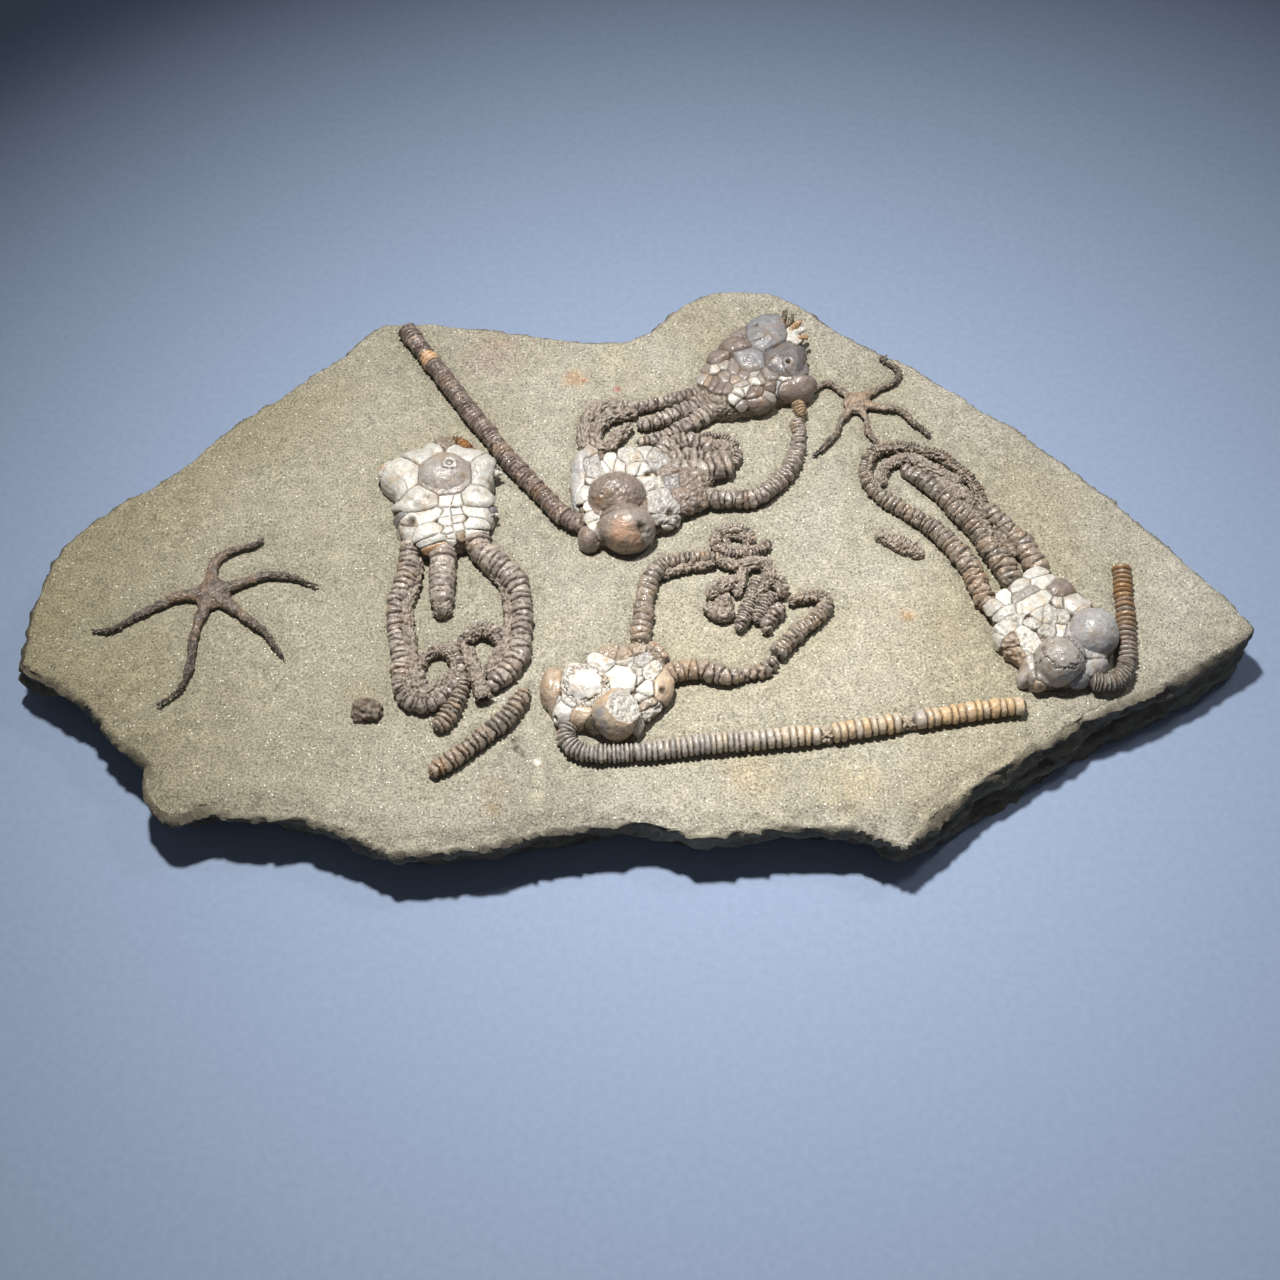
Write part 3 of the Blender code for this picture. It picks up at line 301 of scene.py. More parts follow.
# Strands of each piece: kind, spacing of plates, options, and the route (x, y, width)
STRANDS = {
    "crinoid_a_stem": [
        ("disc", (1.1, 0.8), {}, [(-75.5, 36.5, 5), (-73, 41, 5), (-68, 43.5, 5), (-64, 42, 5),
            (-60.5, 38, 4.6)]),
    ],
    "crinoid_b_stem": [
        ("disc", (1.2,), {"end": 0.1}, [(57.5, 62, 5.2), (59.7, 55.5, 3.4)]),
    ],
    "crinoid_c_stem": [
        ("worn", (1.9, 1.3, 1.6), {}, [(-88, 97.6, 6.6), (-84, 91.6, 6.6), (-79, 83.6, 6.6),
            (-74.3, 77, 6.6), (-69.5, 69.4, 6.6), (-64.7, 61.8, 6.6), (-59.8, 54.2, 6.6),
            (-54.3, 46.6, 6.6), (-49.5, 39, 6.6), (-44, 31.4, 6.6), (-38.4, 24.6, 6.6), (-33, 17.6, 6.6),
            (-28, 11.4, 6.6), (-23.3, 7.6, 6.4), (-17.5, 6.5, 6.2)]),
    ],
    "crinoid_d_stem": [
        ("disc", (1.5, 1.35), {}, [(-22.5, -74.5, 5.8), (-24, -78, 5.8), (-22.5, -81.7, 5.9),
            (-19, -84.2, 6), (-14.8, -85, 6), (-9, -85, 6), (-2, -84.6, 6)]),
        ("disc", (1.8, 2.2), {}, [(-2, -84.6, 6), (12, -83, 6.3), (20, -81.6, 6.4), (34, -80.4, 6.5)]),
        ("disc", (2.9, 2.3), {}, [(34, -80.4, 6.5), (49.6, -78.7, 6.5), (58.2, -78.1, 6.4)]),
        ("grit", (2,), {"lower": 0.6}, [(57.5, -78.2, 4.8), (62.4, -77.7, 4.8)]),
        ("disc", (2.5, 2.9), {}, [(61.8, -77.7, 6.4), (70.4, -75.9, 6.3), (84.4, -73.4, 6.2)]),
        ("grit", (2,), {"lower": 1}, [(84, -73.4, 4.6), (89.8, -72.6, 4.6)]),
        ("disc", (2.7, 3.4, 2.2), {}, [(89, -72.7, 6.2), (100, -70.7, 6), (110.4, -68.9, 5.9),
            (119.3, -67.7, 5.8), (125.2, -67, 5.8)]),
    ],
    "crinoid_e_stem": [
        ("disc", (1.2,), {}, [(148.5, -57.8, 6), (154, -58.2, 6.2), (159, -55.2, 6.2),
            (161.5, -50.5, 6.2)]),
        ("disc", (2.1, 1.9), {}, [(161.5, -50.5, 6.2), (162.2, -43.7, 6.2), (163, -37.7, 6.2),
            (163.6, -30.7, 6.2), (164, -23.1, 6.1), (164.7, -16.4, 6), (165, -12, 6)]),
    ],
    "crinoid_a_arm_1": [
        ("ring", (2.3, 2.7, 2), {}, [(-79.5, -2, 7), (-79.3, -11, 7), (-80.5, -19, 6.6),
            (-82.3, -25, 5.8), (-82.6, -30.3, 5.4), (-82.2, -35.2, 5.4), (-81.3, -40.1, 5.4),
            (-80.5, -44.9, 5.6), (-79.5, -49.8, 5.8), (-79, -54.5, 6), (-78.3, -59.2, 6.2)]),
        ("ring", (1.5, 1.8), {"band": 1}, [(-79, -56.5, 6), (-78.3, -59.2, 6.2), (-76.3, -63.5, 6.4),
            (-73.4, -65.9, 6.4), (-69.8, -66.3, 6.2), (-66.3, -64.9, 6), (-63.3, -62.1, 6),
            (-61, -58.7, 6), (-60.1, -54.4, 5.6), (-60.4, -50.6, 5), (-62.2, -47.2, 4.8),
            (-64.7, -45.6, 4.4), (-67.6, -45.3, 4.2), (-69.9, -46.2, 4), (-71.6, -48.4, 3.6),
            (-72.7, -50.7, 3)]),
        ("grit", (2,), {"lower": 0.2, "stretch": 1.3}, [(-76.3, -8, 3.2), (-76.6, -18, 3.6),
            (-78.4, -25, 3.8), (-78.9, -30, 4), (-78.3, -35, 4.4), (-77.6, -40, 4.6), (-76.7, -45.7, 5),
            (-75.6, -50.6, 6), (-74.2, -55.4, 6.4), (-73, -59, 5.8), (-70.4, -61.2, 4.8), (-67.8, -60, 4),
            (-65.4, -58, 3.4), (-63.8, -55, 3)]),
        ("grit", (2,), {"lower": 0.2}, [(-74.2, -54.6, 4.6), (-73.4, -51.3, 4.4), (-71.4, -48.9, 3.6)]),
    ],
    "crinoid_a_arm_2": [
        ("worn", (3.2, 2.6), {}, [(-67.7, -2, 9), (-67.7, -12, 8.8), (-67.5, -20, 8.2), (-67, -27, 7.6)]),
        ("grit", (2,), {"lower": 0.8}, [(-67.2, -24, 6.4), (-66.6, -31, 6.2)]),
    ],
    "crinoid_a_arm_3": [
        ("ring", (2.8, 2.4), {}, [(-56.5, 0, 8.6), (-55.3, -4.5, 8.6), (-51.3, -9, 8.4),
            (-46.7, -13, 8.2), (-42.7, -18, 8), (-40.5, -23, 7.4), (-39.9, -28.6, 6.8),
            (-39.6, -33.5, 6.8), (-39.6, -38.4, 6.8), (-39.8, -43.2, 6.8), (-40.3, -47.5, 6.8),
            (-41.9, -51.3, 6.8), (-44.2, -54.6, 6.4), (-46.5, -57, 6), (-48.6, -59.3, 5),
            (-49.5, -60.5, 4)]),
        ("grit", (2,), {"lower": 0.2, "stretch": 1.3}, [(-54, -10, 2.8), (-50, -14.5, 3.4),
            (-46.5, -19, 3.6), (-44.8, -24, 3.6), (-44.2, -29.9, 3.6), (-43.8, -35.8, 4),
            (-44.2, -41.3, 5), (-45.5, -45.9, 6.4), (-46.9, -49.7, 6.2), (-48.7, -52.7, 5.2),
            (-50.2, -55.6, 4)]),
    ],
    "crinoid_a_arm_4": [
        ("ring", (1.8, 1.5), {"band": -1}, [(-60.1, -44.8, 3.6), (-58.5, -41.6, 4.4), (-56.2, -38.6, 4.8),
            (-53.4, -37, 5), (-50.6, -37.6, 5.4), (-47.8, -39.6, 5.4), (-45.8, -42.1, 5),
            (-45, -44.7, 4.4)]),
        ("grit", (2,), {"end": -0.5, "grain": 1}, [(-57.2, -44.3, 3.4), (-56.6, -48, 4.2),
            (-55.5, -51.6, 4.6), (-54.1, -55.3, 4.8), (-52.7, -59.1, 5.2), (-51.7, -62.4, 5.6),
            (-51.1, -64.9, 5.4)]),
    ],
    "crinoid_a_arm_5": [
        ("tile", (1.8, 2), {}, [(-58.2, -54.6, 3.4), (-58.4, -58.5, 4.4), (-59.1, -62.8, 5.2),
            (-60.6, -67, 5.6), (-62.4, -70.7, 5.8), (-64.4, -73.6, 5.4), (-65.9, -75.3, 4.4)]),
    ],
    "loose_arm": [
        ("tile", (2.5, 2.1), {}, [(-37.1, -60.9, 3.6), (-39.4, -65.1, 5.4), (-41.6, -69.3, 5.6),
            (-44.2, -72.5, 5.8), (-47.6, -75.7, 5.8), (-51, -78.9, 5.6), (-54.3, -82, 5.6),
            (-57.7, -85.1, 5.4), (-61, -87.7, 5.4), (-64, -89.9, 5.2), (-66.6, -91.8, 4.4)]),
    ],
    "crinoid_b_arm_1": [
        ("ring", (2, 1.8), {}, [(26.7, 69, 6.5), (22, 66.9, 6), (17.3, 64.9, 5.4), (10.6, 63.1, 4.8),
            (4, 61.2, 4.6), (-1.3, 60.1, 4.4), (-6.6, 60.3, 4.6), (-11.3, 60.5, 5)]),
        ("grit", (2,), {"stretch": 2.4}, [(-6.6, 60.3, 4.4), (-11.3, 60.5, 5), (-15.6, 58.4, 5.4),
            (-18.8, 53.5, 6), (-20, 48.4, 6), (-20.3, 43.6, 5), (-19.6, 40.4, 4)]),
    ],
    "crinoid_b_arm_2": [
        ("ring", (2.1, 1.8), {}, [(36.2, 72.4, 7), (32.7, 68.9, 7), (28, 65, 6.8), (23.3, 62, 6.6),
            (18.6, 59, 6.4), (13.2, 56.5, 6), (7.9, 53.8, 5.4), (3.3, 52.3, 4.8), (-0.7, 51.3, 3.6)]),
    ],
    "crinoid_b_arm_3": [
        ("ring", (2.3, 2), {}, [(38, 67.3, 6.4), (32.6, 63.3, 6.6), (27.2, 59, 6.4), (23.1, 55.2, 6.2),
            (18.4, 51.8, 6), (13.8, 48.7, 5.6), (9.2, 46.1, 5), (3.9, 44.1, 4.6), (-0.7, 43.6, 4)]),
    ],
    "crinoid_b_coil": [
        ("grit", (2,), {"stretch": 2.2}, [(-1.3, 57.3, 3.6), (-6.6, 56.5, 4.4), (-11.2, 55.3, 5),
            (-14.8, 52, 5), (-16.1, 47, 4.8), (-14.7, 42.1, 4.2), (-11.4, 40.5, 3.8)]),
        ("grit", (2,), {"stretch": 1.6}, [(-3.6, 51.4, 4), (-6.6, 47.9, 4.6), (-9.2, 44.6, 4.4),
            (-11.6, 40.4, 3.6)]),
    ],
    "crinoid_c_arm_1": [
        ("block", (2.9, 2.4), {}, [(6.8, 36.9, 7), (10.4, 40.6, 7), (14.4, 42.8, 6.8), (18.3, 43.4, 6.6),
            (22.2, 42, 6.4), (25.8, 40, 6)]),
        ("block", (2.6, 3), {"lower": 0.5}, [(8, 33.6, 6.5), (13, 35.6, 6.5), (18, 36.4, 6.5),
            (23, 35.8, 6.5), (28, 35, 6)]),
        ("tile", (1.3,), {}, [(21.7, 46.1, 3), (25.6, 47, 3), (29.5, 46.4, 3), (32.8, 44, 3.2),
            (34.7, 39.8, 3.2), (34.2, 35.2, 3.2), (31.5, 32.3, 3)]),
        ("grit", (2,), {}, [(24, 42.4, 5), (30, 40.3, 5.5), (31.9, 36.5, 5)]),
    ],
    "crinoid_c_arm_2": [
        ("block", (3.1, 3.6), {}, [(7.8, 29.8, 7.4), (12.3, 30.1, 7.6), (16.8, 30.1, 7.6),
            (21.3, 29.5, 8), (25.2, 30.2, 8.6), (29.1, 31.6, 8.6), (32.1, 32.5, 8)]),
    ],
    "crinoid_c_arm_3": [
        ("block", (2.8, 2.4), {}, [(10.3, 24.3, 6), (14.2, 25.1, 6.4), (18, 24.3, 6.2), (21.2, 23.7, 5)]),
    ],
    "crinoid_c_arm_4": [
        ("ring", (2.5, 2.2), {}, [(16.6, 16.9, 6.6), (20.5, 18.5, 6.6), (24.3, 18.1, 6.6),
            (28.1, 17.3, 6.6), (32.6, 17.6, 6.4), (37.1, 17.4, 6.2), (41.6, 18.8, 6.2), (45.6, 21.5, 6)]),
        ("tile", (1.5, 1.7), {}, [(44.6, 20.8, 6), (48.9, 25.2, 5.8), (52.4, 29.7, 5.6),
            (54.9, 35.1, 5.4), (56.7, 41, 5.2), (57.3, 47.8, 4.8), (57.1, 53.5, 4.4)]),
    ],
    "crinoid_d_arm_1": [
        ("tile", (2.9, 2.5), {}, [(0, -43.2, 6.8), (0.2, -37.8, 6.8), (0.9, -33.7, 6.6),
            (1.2, -30.3, 6.6), (1.5, -25.5, 6.2), (2.2, -20.8, 6), (3.7, -16, 5.8), (5.9, -12.4, 5.6)]),
        ("ring", (1.9,), {}, [(4.8, -14, 5.6), (8.8, -9.9, 5.2), (12.3, -8.8, 4.8), (16.2, -7.9, 4.6),
            (20.2, -7.5, 4.4), (24.1, -7.4, 4.2), (27.5, -8, 3.8)]),
        ("grit", (2,), {"lower": 0.3}, [(7.8, -14.6, 2.6), (12.7, -12.2, 3), (17.2, -10.8, 3.2),
            (21.1, -10.4, 3.2), (25.5, -9.7, 2.8)]),
        ("worn", (3,), {}, [(2.6, -42.8, 3), (5.2, -44.9, 3.6), (7.4, -47.2, 3.6), (8.1, -49.4, 3.4)]),
    ],
    "crinoid_d_arm_2": [
        ("ring", (3, 2.6), {}, [(6.8, -57, 7), (9.4, -55.5, 6.8), (12.2, -54.1, 6.8), (15.6, -53.3, 6.8),
            (19.3, -53.3, 6.8), (23.1, -54.1, 6.8), (26.8, -55.2, 6.6), (29.6, -55.8, 5.8),
            (32.5, -55.4, 5.2)]),
        ("block", (2.6, 2), {"lower": 0.4}, [(31.5, -55.4, 4.6), (35.8, -54.4, 4.4), (39.1, -53.8, 4.6),
            (42, -52.2, 4.6), (45, -48.6, 4.4)]),
        ("ring", (1.5, 1.7), {"end": 0.1}, [(45.4, -47.4, 5.8), (48.6, -43.3, 5.6), (51.6, -39.8, 5.4),
            (55.1, -36.4, 5.2), (58.6, -33.5, 5), (61.2, -30.5, 4.8)]),
        ("ring", (1.5, 1.7), {"band": 1}, [(60, -31.8, 4.9), (62.9, -27.6, 4.7), (62.9, -25.2, 4.5),
            (61.1, -23.6, 4.4), (57.7, -23.4, 4), (53.8, -24.2, 3.6), (50.4, -25.6, 3)]),
    ],
    "crinoid_d_coil": [
        ("ring", (1.15,), {"band": -1, "grain": 0.8}, [(44.3, -0.1, 3.2), (42.7, -2.7, 3.8),
            (39.5, -4.6, 4.2), (35, -5.6, 4.2), (31.1, -5.2, 4.2), (27.7, -3.4, 4.2), (26.1, -0.6, 4.2),
            (27, 2.2, 4.2), (29.8, 4, 4.2), (33.6, 4.6, 4.2), (36.8, 3.4, 4), (38.4, 1, 3.8),
            (37.9, -1, 3.2), (35.6, -2.1, 2.4)]),
        ("grit", (2,), {"lower": 0.3, "grain": 0.8}, [(36.7, 1, 2.4), (34.3, 2.3, 2.6), (31.3, 1.9, 2.6),
            (30, 0.1, 2.2), (31.2, -1.7, 2)]),
    ],
    "crinoid_d_tangle": [
        ("grit", (2,), {}, [(27, -8.2, 3.6), (30.9, -9.9, 3.8), (33.8, -10.9, 4), (37.3, -10, 4.2),
            (40.3, -9.5, 4.6), (42.7, -10.1, 4.8), (44.2, -12.5, 4.4), (44.7, -15.7, 3.4)]),
        ("grit", (2,), {"lower": 0.3}, [(35.8, -11.4, 3.4), (34.7, -15.6, 3.6), (33.8, -19.7, 3.4),
            (32.8, -23.1, 2.6)]),
        ("grit", (2,), {}, [(33.6, -17.2, 4.2), (29.2, -18.8, 5), (25.8, -20.9, 4.8), (23.5, -23.7, 4)]),
        ("grit", (2,), {}, [(23.1, -26.8, 3.8), (24.8, -29.9, 4.6), (27.9, -31.1, 5),
            (30.9, -29.5, 4.2)]),
        ("grit", (2,), {"lower": 2.2, "squash": 0.5}, [(25.2, -23.8, 6), (28.5, -25.7, 8),
            (31, -26.5, 6)]),
        ("tile", (1.2,), {"band": 1, "grain": 1}, [(48.1, -23.6, 3.6), (48.3, -20.3, 4.8),
            (46, -17.6, 5.6), (42.6, -17.8, 6.2), (40.1, -20.8, 6.4), (38.1, -25.4, 5.6)]),
        ("tile", (1.15,), {}, [(38.8, -24, 5.4), (36.3, -29.4, 5), (34.5, -33.4, 4.6), (33.2, -37, 3.8)]),
        ("tile", (1.3,), {}, [(45.6, -22.8, 4.2), (43.3, -25.2, 4.6), (41.3, -28.8, 4.8),
            (39.7, -32.2, 4.4), (38.9, -33.7, 3.4)]),
        ("block", (2.2,), {"end": -0.4}, [(48.1, -27.6, 4.6), (46, -30, 5), (44, -32.8, 4.6),
            (42.7, -35.5, 3.8), (42.5, -38.3, 3)]),
    ],
    "crinoid_e_arm_1": [
        ("block", (2.6, 2.9), {}, [(117.9, -28.5, 6.8), (115.2, -19.8, 7.2), (113.1, -12.1, 7.2),
            (109.6, -5.4, 7)]),
        ("tile", (2.3, 2), {}, [(110.4, -7, 7), (105, 1.1, 6.5), (101, 5.8, 6), (96.3, 9.6, 5.6),
            (90.7, 14.3, 5.4), (85.8, 18.2, 5), (81.8, 22.4, 4.6)]),
        ("tile", (1.35, 1.2), {"band": -1, "grain": 1}, [(82.8, 21, 4.8), (80.3, 28.3, 4.6),
            (81.4, 34.8, 4.6), (84.6, 39.4, 4.6), (89.3, 41, 4.4), (96, 41, 4.4), (102, 39.4, 4.2),
            (108, 37.2, 4), (111.7, 33.6, 3.8), (114.9, 29.7, 3.7), (117.5, 25.8, 3.8),
            (119.4, 21.3, 3.9), (120.4, 16.9, 3.8), (120.2, 12.5, 3.6), (119.5, 8.2, 3.2)]),
    ],
    "crinoid_e_arm_2": [
        ("block", (2.6, 3), {}, [(126.4, -18.8, 8), (125.9, -15.3, 8.2), (124, -10.5, 8),
            (121.2, -4.4, 7.8)]),
        ("tile", (2.6, 2.3), {"band": -1}, [(122, -6, 7.8), (118.8, 1.2, 7.8), (115.9, 6.8, 7.6),
            (112.9, 10.6, 7.2), (109.8, 15, 6.8), (106.7, 19.5, 6.4)]),
        ("worn", (2.4,), {}, [(107.6, 18.4, 6), (103.9, 22.1, 6.2), (101.2, 25.2, 6.4), (97.4, 28.6, 5.6),
            (93.6, 31.4, 4.6)]),
    ],
    "crinoid_e_arm_3": [
        ("ring", (2.7, 3.1), {}, [(136.9, -14.4, 7.8), (135.7, -11, 7.8), (134.2, -7.4, 7.6),
            (132.5, -2.5, 7.4), (129.8, 1.3, 7), (127.3, 5.1, 6.4), (124.7, 8.9, 6), (122.8, 12.1, 5.6),
            (121.8, 14.1, 5)]),
        ("grit", (2,), {"lower": 0.6}, [(123.5, 10.8, 3), (125.7, 3.1, 4.4), (127.9, -3, 4.4),
            (129.1, -6.5, 3)]),
    ],
    "crinoid_e_arm_4": [
        ("grit", (2,), {"grain": 1}, [(84.8, 24.3, 3.4), (85.9, 28.4, 3.6), (88.2, 32.6, 3.6),
            (91.4, 35.2, 3.8), (95.5, 35.8, 4.2), (99, 34.4, 4.6), (102.3, 31.7, 5), (106.2, 29.4, 5),
            (110, 26.9, 4.6), (113.4, 25.1, 4)]),
        ("grit", (2,), {"lower": 1, "squash": 0.6, "grain": 1.2}, [(102.9, 27.2, 5), (106.5, 23.6, 7.4),
            (110.1, 20.2, 8.4), (113.9, 17.4, 7.8), (116.3, 14.1, 5)]),
    ],
    "small_arm_piece": [
        ("grit", (2,), {"lower": 1.2, "stretch": 0.6}, [(82.2, 3.5, 3.4), (85.8, 1.2, 4.4),
            (89.5, -1.4, 5), (93.3, -3.2, 5), (96.1, -4.9, 4.4), (97.6, -5.9, 3.4)]),
        ("tile", (1.25,), {}, [(87, 1.9, 2.2), (90.5, 0, 3.2), (93.5, -1.8, 3.2), (96.8, -4.2, 2.4)]),
    ],
}

# Brittle stars: disc (x, y, radius) and arms from the disc out, (x, y, width)
STARS = {
    "brittle_star_1": ((-145.5, -22, 5.6), [
        [(-146.5, -19, 4), (-146.8, -11, 3.6), (-145.3, -7.4, 3.3), (-142, -4.4, 3), (-137.3, -2.6, 2.6),
         (-133, -1, 2.2), (-130.5, 1.5, 1.6)],
        [(-143, -20.6, 4), (-136, -17.6, 3.6), (-131, -15.3, 3.4), (-126, -14.4, 3), (-120, -15, 2.6),
         (-115, -17, 2.2), (-109.6, -18.8, 1.6)],
        [(-143, -24, 4), (-135.5, -29.7, 3.6), (-131, -33.5, 3.3), (-126, -37.6, 2.8), (-122, -43, 2.2),
         (-118, -48.5, 1.6)],
        [(-147, -25, 4), (-148.8, -33.5, 3.7), (-149.4, -42, 3.3), (-149.4, -52, 2.8), (-151.4, -60, 2.3),
         (-158, -66.5, 1.6)],
        [(-148.5, -22.6, 4), (-156, -23, 3.7), (-162, -26, 3.4), (-169.6, -31, 3), (-177, -36.4, 2.6),
         (-184.4, -37, 1.8)],
    ]),
    "brittle_star_2": ((79.5, 63, 4.6), [
        [(81, 64.4, 3.4), (87, 69, 3.4), (91.4, 71.5, 3.2), (94.5, 73.7, 3.2), (96, 77, 3),
         (94.6, 80.4, 2.8), (90, 84, 2.6), (92.6, 86.4, 2)],
        [(78.2, 64.8, 3.4), (74, 68.7, 3.4), (69, 72.4, 3), (64.4, 68.7, 2.2)],
        [(78.4, 61.4, 3.4), (73, 54.4, 3.2), (71.2, 49, 3), (65.5, 41.5, 2.6), (61.8, 38, 1.8)],
        [(81.4, 61.8, 3.4), (88.6, 60.5, 3.4), (94, 60, 3.4), (97.4, 57, 3.2), (99.5, 53.3, 3.2),
         (102.7, 50, 2.8), (105, 46.6, 2)],
        [(80, 61, 3.4), (82.3, 55, 3), (82.3, 50, 3), (84.2, 46.4, 2.8), (87, 41.8, 2)],
    ]),
}

CRUST = (-89, -68.5, 0.5, 5.4, 4.8, 4.4)    # small crusted lump: place, half lengths


# Cups -------------------------------------------------------------------------------

# Ground outline of each cup: x, y
CUP_OUTLINES = {
    "crinoid_a_cup": [(-92.7, 29.5), (-88.1, 33.4), (-82.5, 35.5), (-77.5, 36.8), (-75.3, 42),
        (-71.2, 44.5), (-66.4, 43.5), (-62.7, 37.8), (-56.3, 36.8), (-52.8, 34.2), (-49.8, 29.6),
        (-51.7, 24.9), (-52.8, 20.9), (-51.4, 16.4), (-49.7, 12.4), (-51.4, 6.3), (-52.3, 1.1),
        (-56, -1.1), (-60.7, -4.9), (-65.4, -6.8), (-72.9, -8.3), (-78.2, -6.4), (-82.5, 0.1), (-85.8, 7),
        (-86.6, 10.1), (-84.4, 13.2), (-85.5, 18.1), (-91.1, 22.9), (-92.9, 26.6)],
    "crinoid_b_cup": [(47.7, 100.6), (54.3, 100.7), (59.8, 95.5), (61.3, 89.2), (62.3, 82.7),
        (63.1, 74.8), (61.7, 67.9), (56.8, 63.3), (51.2, 61.4), (46.8, 57.2), (40, 56.2), (33.4, 54.3),
        (27.4, 54.3), (23.1, 57.2), (20.4, 62.3), (19.2, 68.1), (21.7, 74.4), (25.2, 80.9), (29.1, 85.6),
        (33.2, 93.5), (38.9, 97.6)],
    "crinoid_c_cup": [(-18.6, 41.5), (-22.8, 33.1), (-24.4, 23.8), (-23.7, 14.4), (-20.2, 7.2),
        (-20.3, 0.1), (-16.4, -4), (-12.3, -1.8), (-8.6, -3.5), (-3.5, -3.5), (1.7, -0.7), (6.1, 3.3),
        (11.1, 4.2), (14.9, 9.8), (22.3, 13.7), (23.9, 19.5), (27.2, 24.9), (24.1, 29.5), (17.8, 32.2),
        (11.4, 34.9), (7.1, 39), (1.8, 39.6), (-4.6, 38.7), (-11.1, 37), (-15.4, 38.5)],
    "crinoid_d_cup": [(-31.9, -59.1), (-30.1, -53.8), (-25.6, -54.8), (-18.9, -50.1), (-14.7, -46.3),
        (-4.6, -44.5), (0.1, -43), (6, -44.8), (8.6, -49.2), (9.7, -54.2), (11.8, -59.1), (10.1, -64.6),
        (7.4, -68.3), (2.9, -72.5), (-0.4, -77.9), (-7.1, -79.4), (-13.3, -77.9), (-20.1, -75.2),
        (-27.2, -73.5), (-29.4, -67.7), (-31.2, -63.4)],
    "crinoid_e_cup": [(131.5, -13.9), (135.5, -11.9), (138.6, -14.2), (143, -17.4), (147.3, -21.1),
        (151, -27.1), (154.9, -29), (158.2, -34), (159, -40.2), (156.3, -45.9), (154.7, -50.3),
        (151.1, -55), (146.2, -59.7), (142.4, -60.8), (138, -59.7), (133.9, -61), (129.7, -61.1),
        (126.6, -56.6), (124.9, -50.3), (119.7, -46.4), (117.6, -41.2), (118.3, -36.3), (116.9, -30.6),
        (115.5, -28.2), (120.7, -22.3), (124.2, -20.7), (125.2, -18.2)],
}

# Cup bodies: height of the body, and the domes on it (x, y, height, half lengths, turn)
CUP_DOMES = {
    "crinoid_a_cup": (8.2, [(-68.7, 24.8, 4.8, 10.8, 10.2, 6, 0)]),
    "crinoid_b_cup": (7.6, [(57.5, 68.2, 2, 7, 6.4, 6.4, 0), (42.6, 63, 1.5, 5.2, 4.8, 5, 0)]),
    "crinoid_c_cup": (6.6, [(-7.9, 16.4, 5, 10.4, 9.2, 8, 0), (-4.8, 2.7, 4, 10, 8.8, 8.6, 0),
        (-17.8, 0.2, 2, 3.4, 4.8, 5.2, 0), (-20.3, 29.8, 2, 3.6, 7, 6, 0)]),
    "crinoid_d_cup": (6.8, [(-17.8, -61.2, 4.2, 9.2, 8.2, 5, 0), (-7.8, -72.5, 4.4, 8.3, 8, 8.2, 0),
        (-29.2, -60.5, 1, 3.2, 6.8, 6, 0)]),
    "crinoid_e_cup": (6.6, [(137.6, -52.1, 4.5, 8.8, 8.6, 8.8, 0), (150.9, -40.8, 4.5, 8.4, 9, 8.2, 0),
        (150, -51.4, 1, 4.6, 4.4, 5.4, 0), (128.5, -53.8, 0.5, 2.2, 6.4, 4.2, -32)]),
}

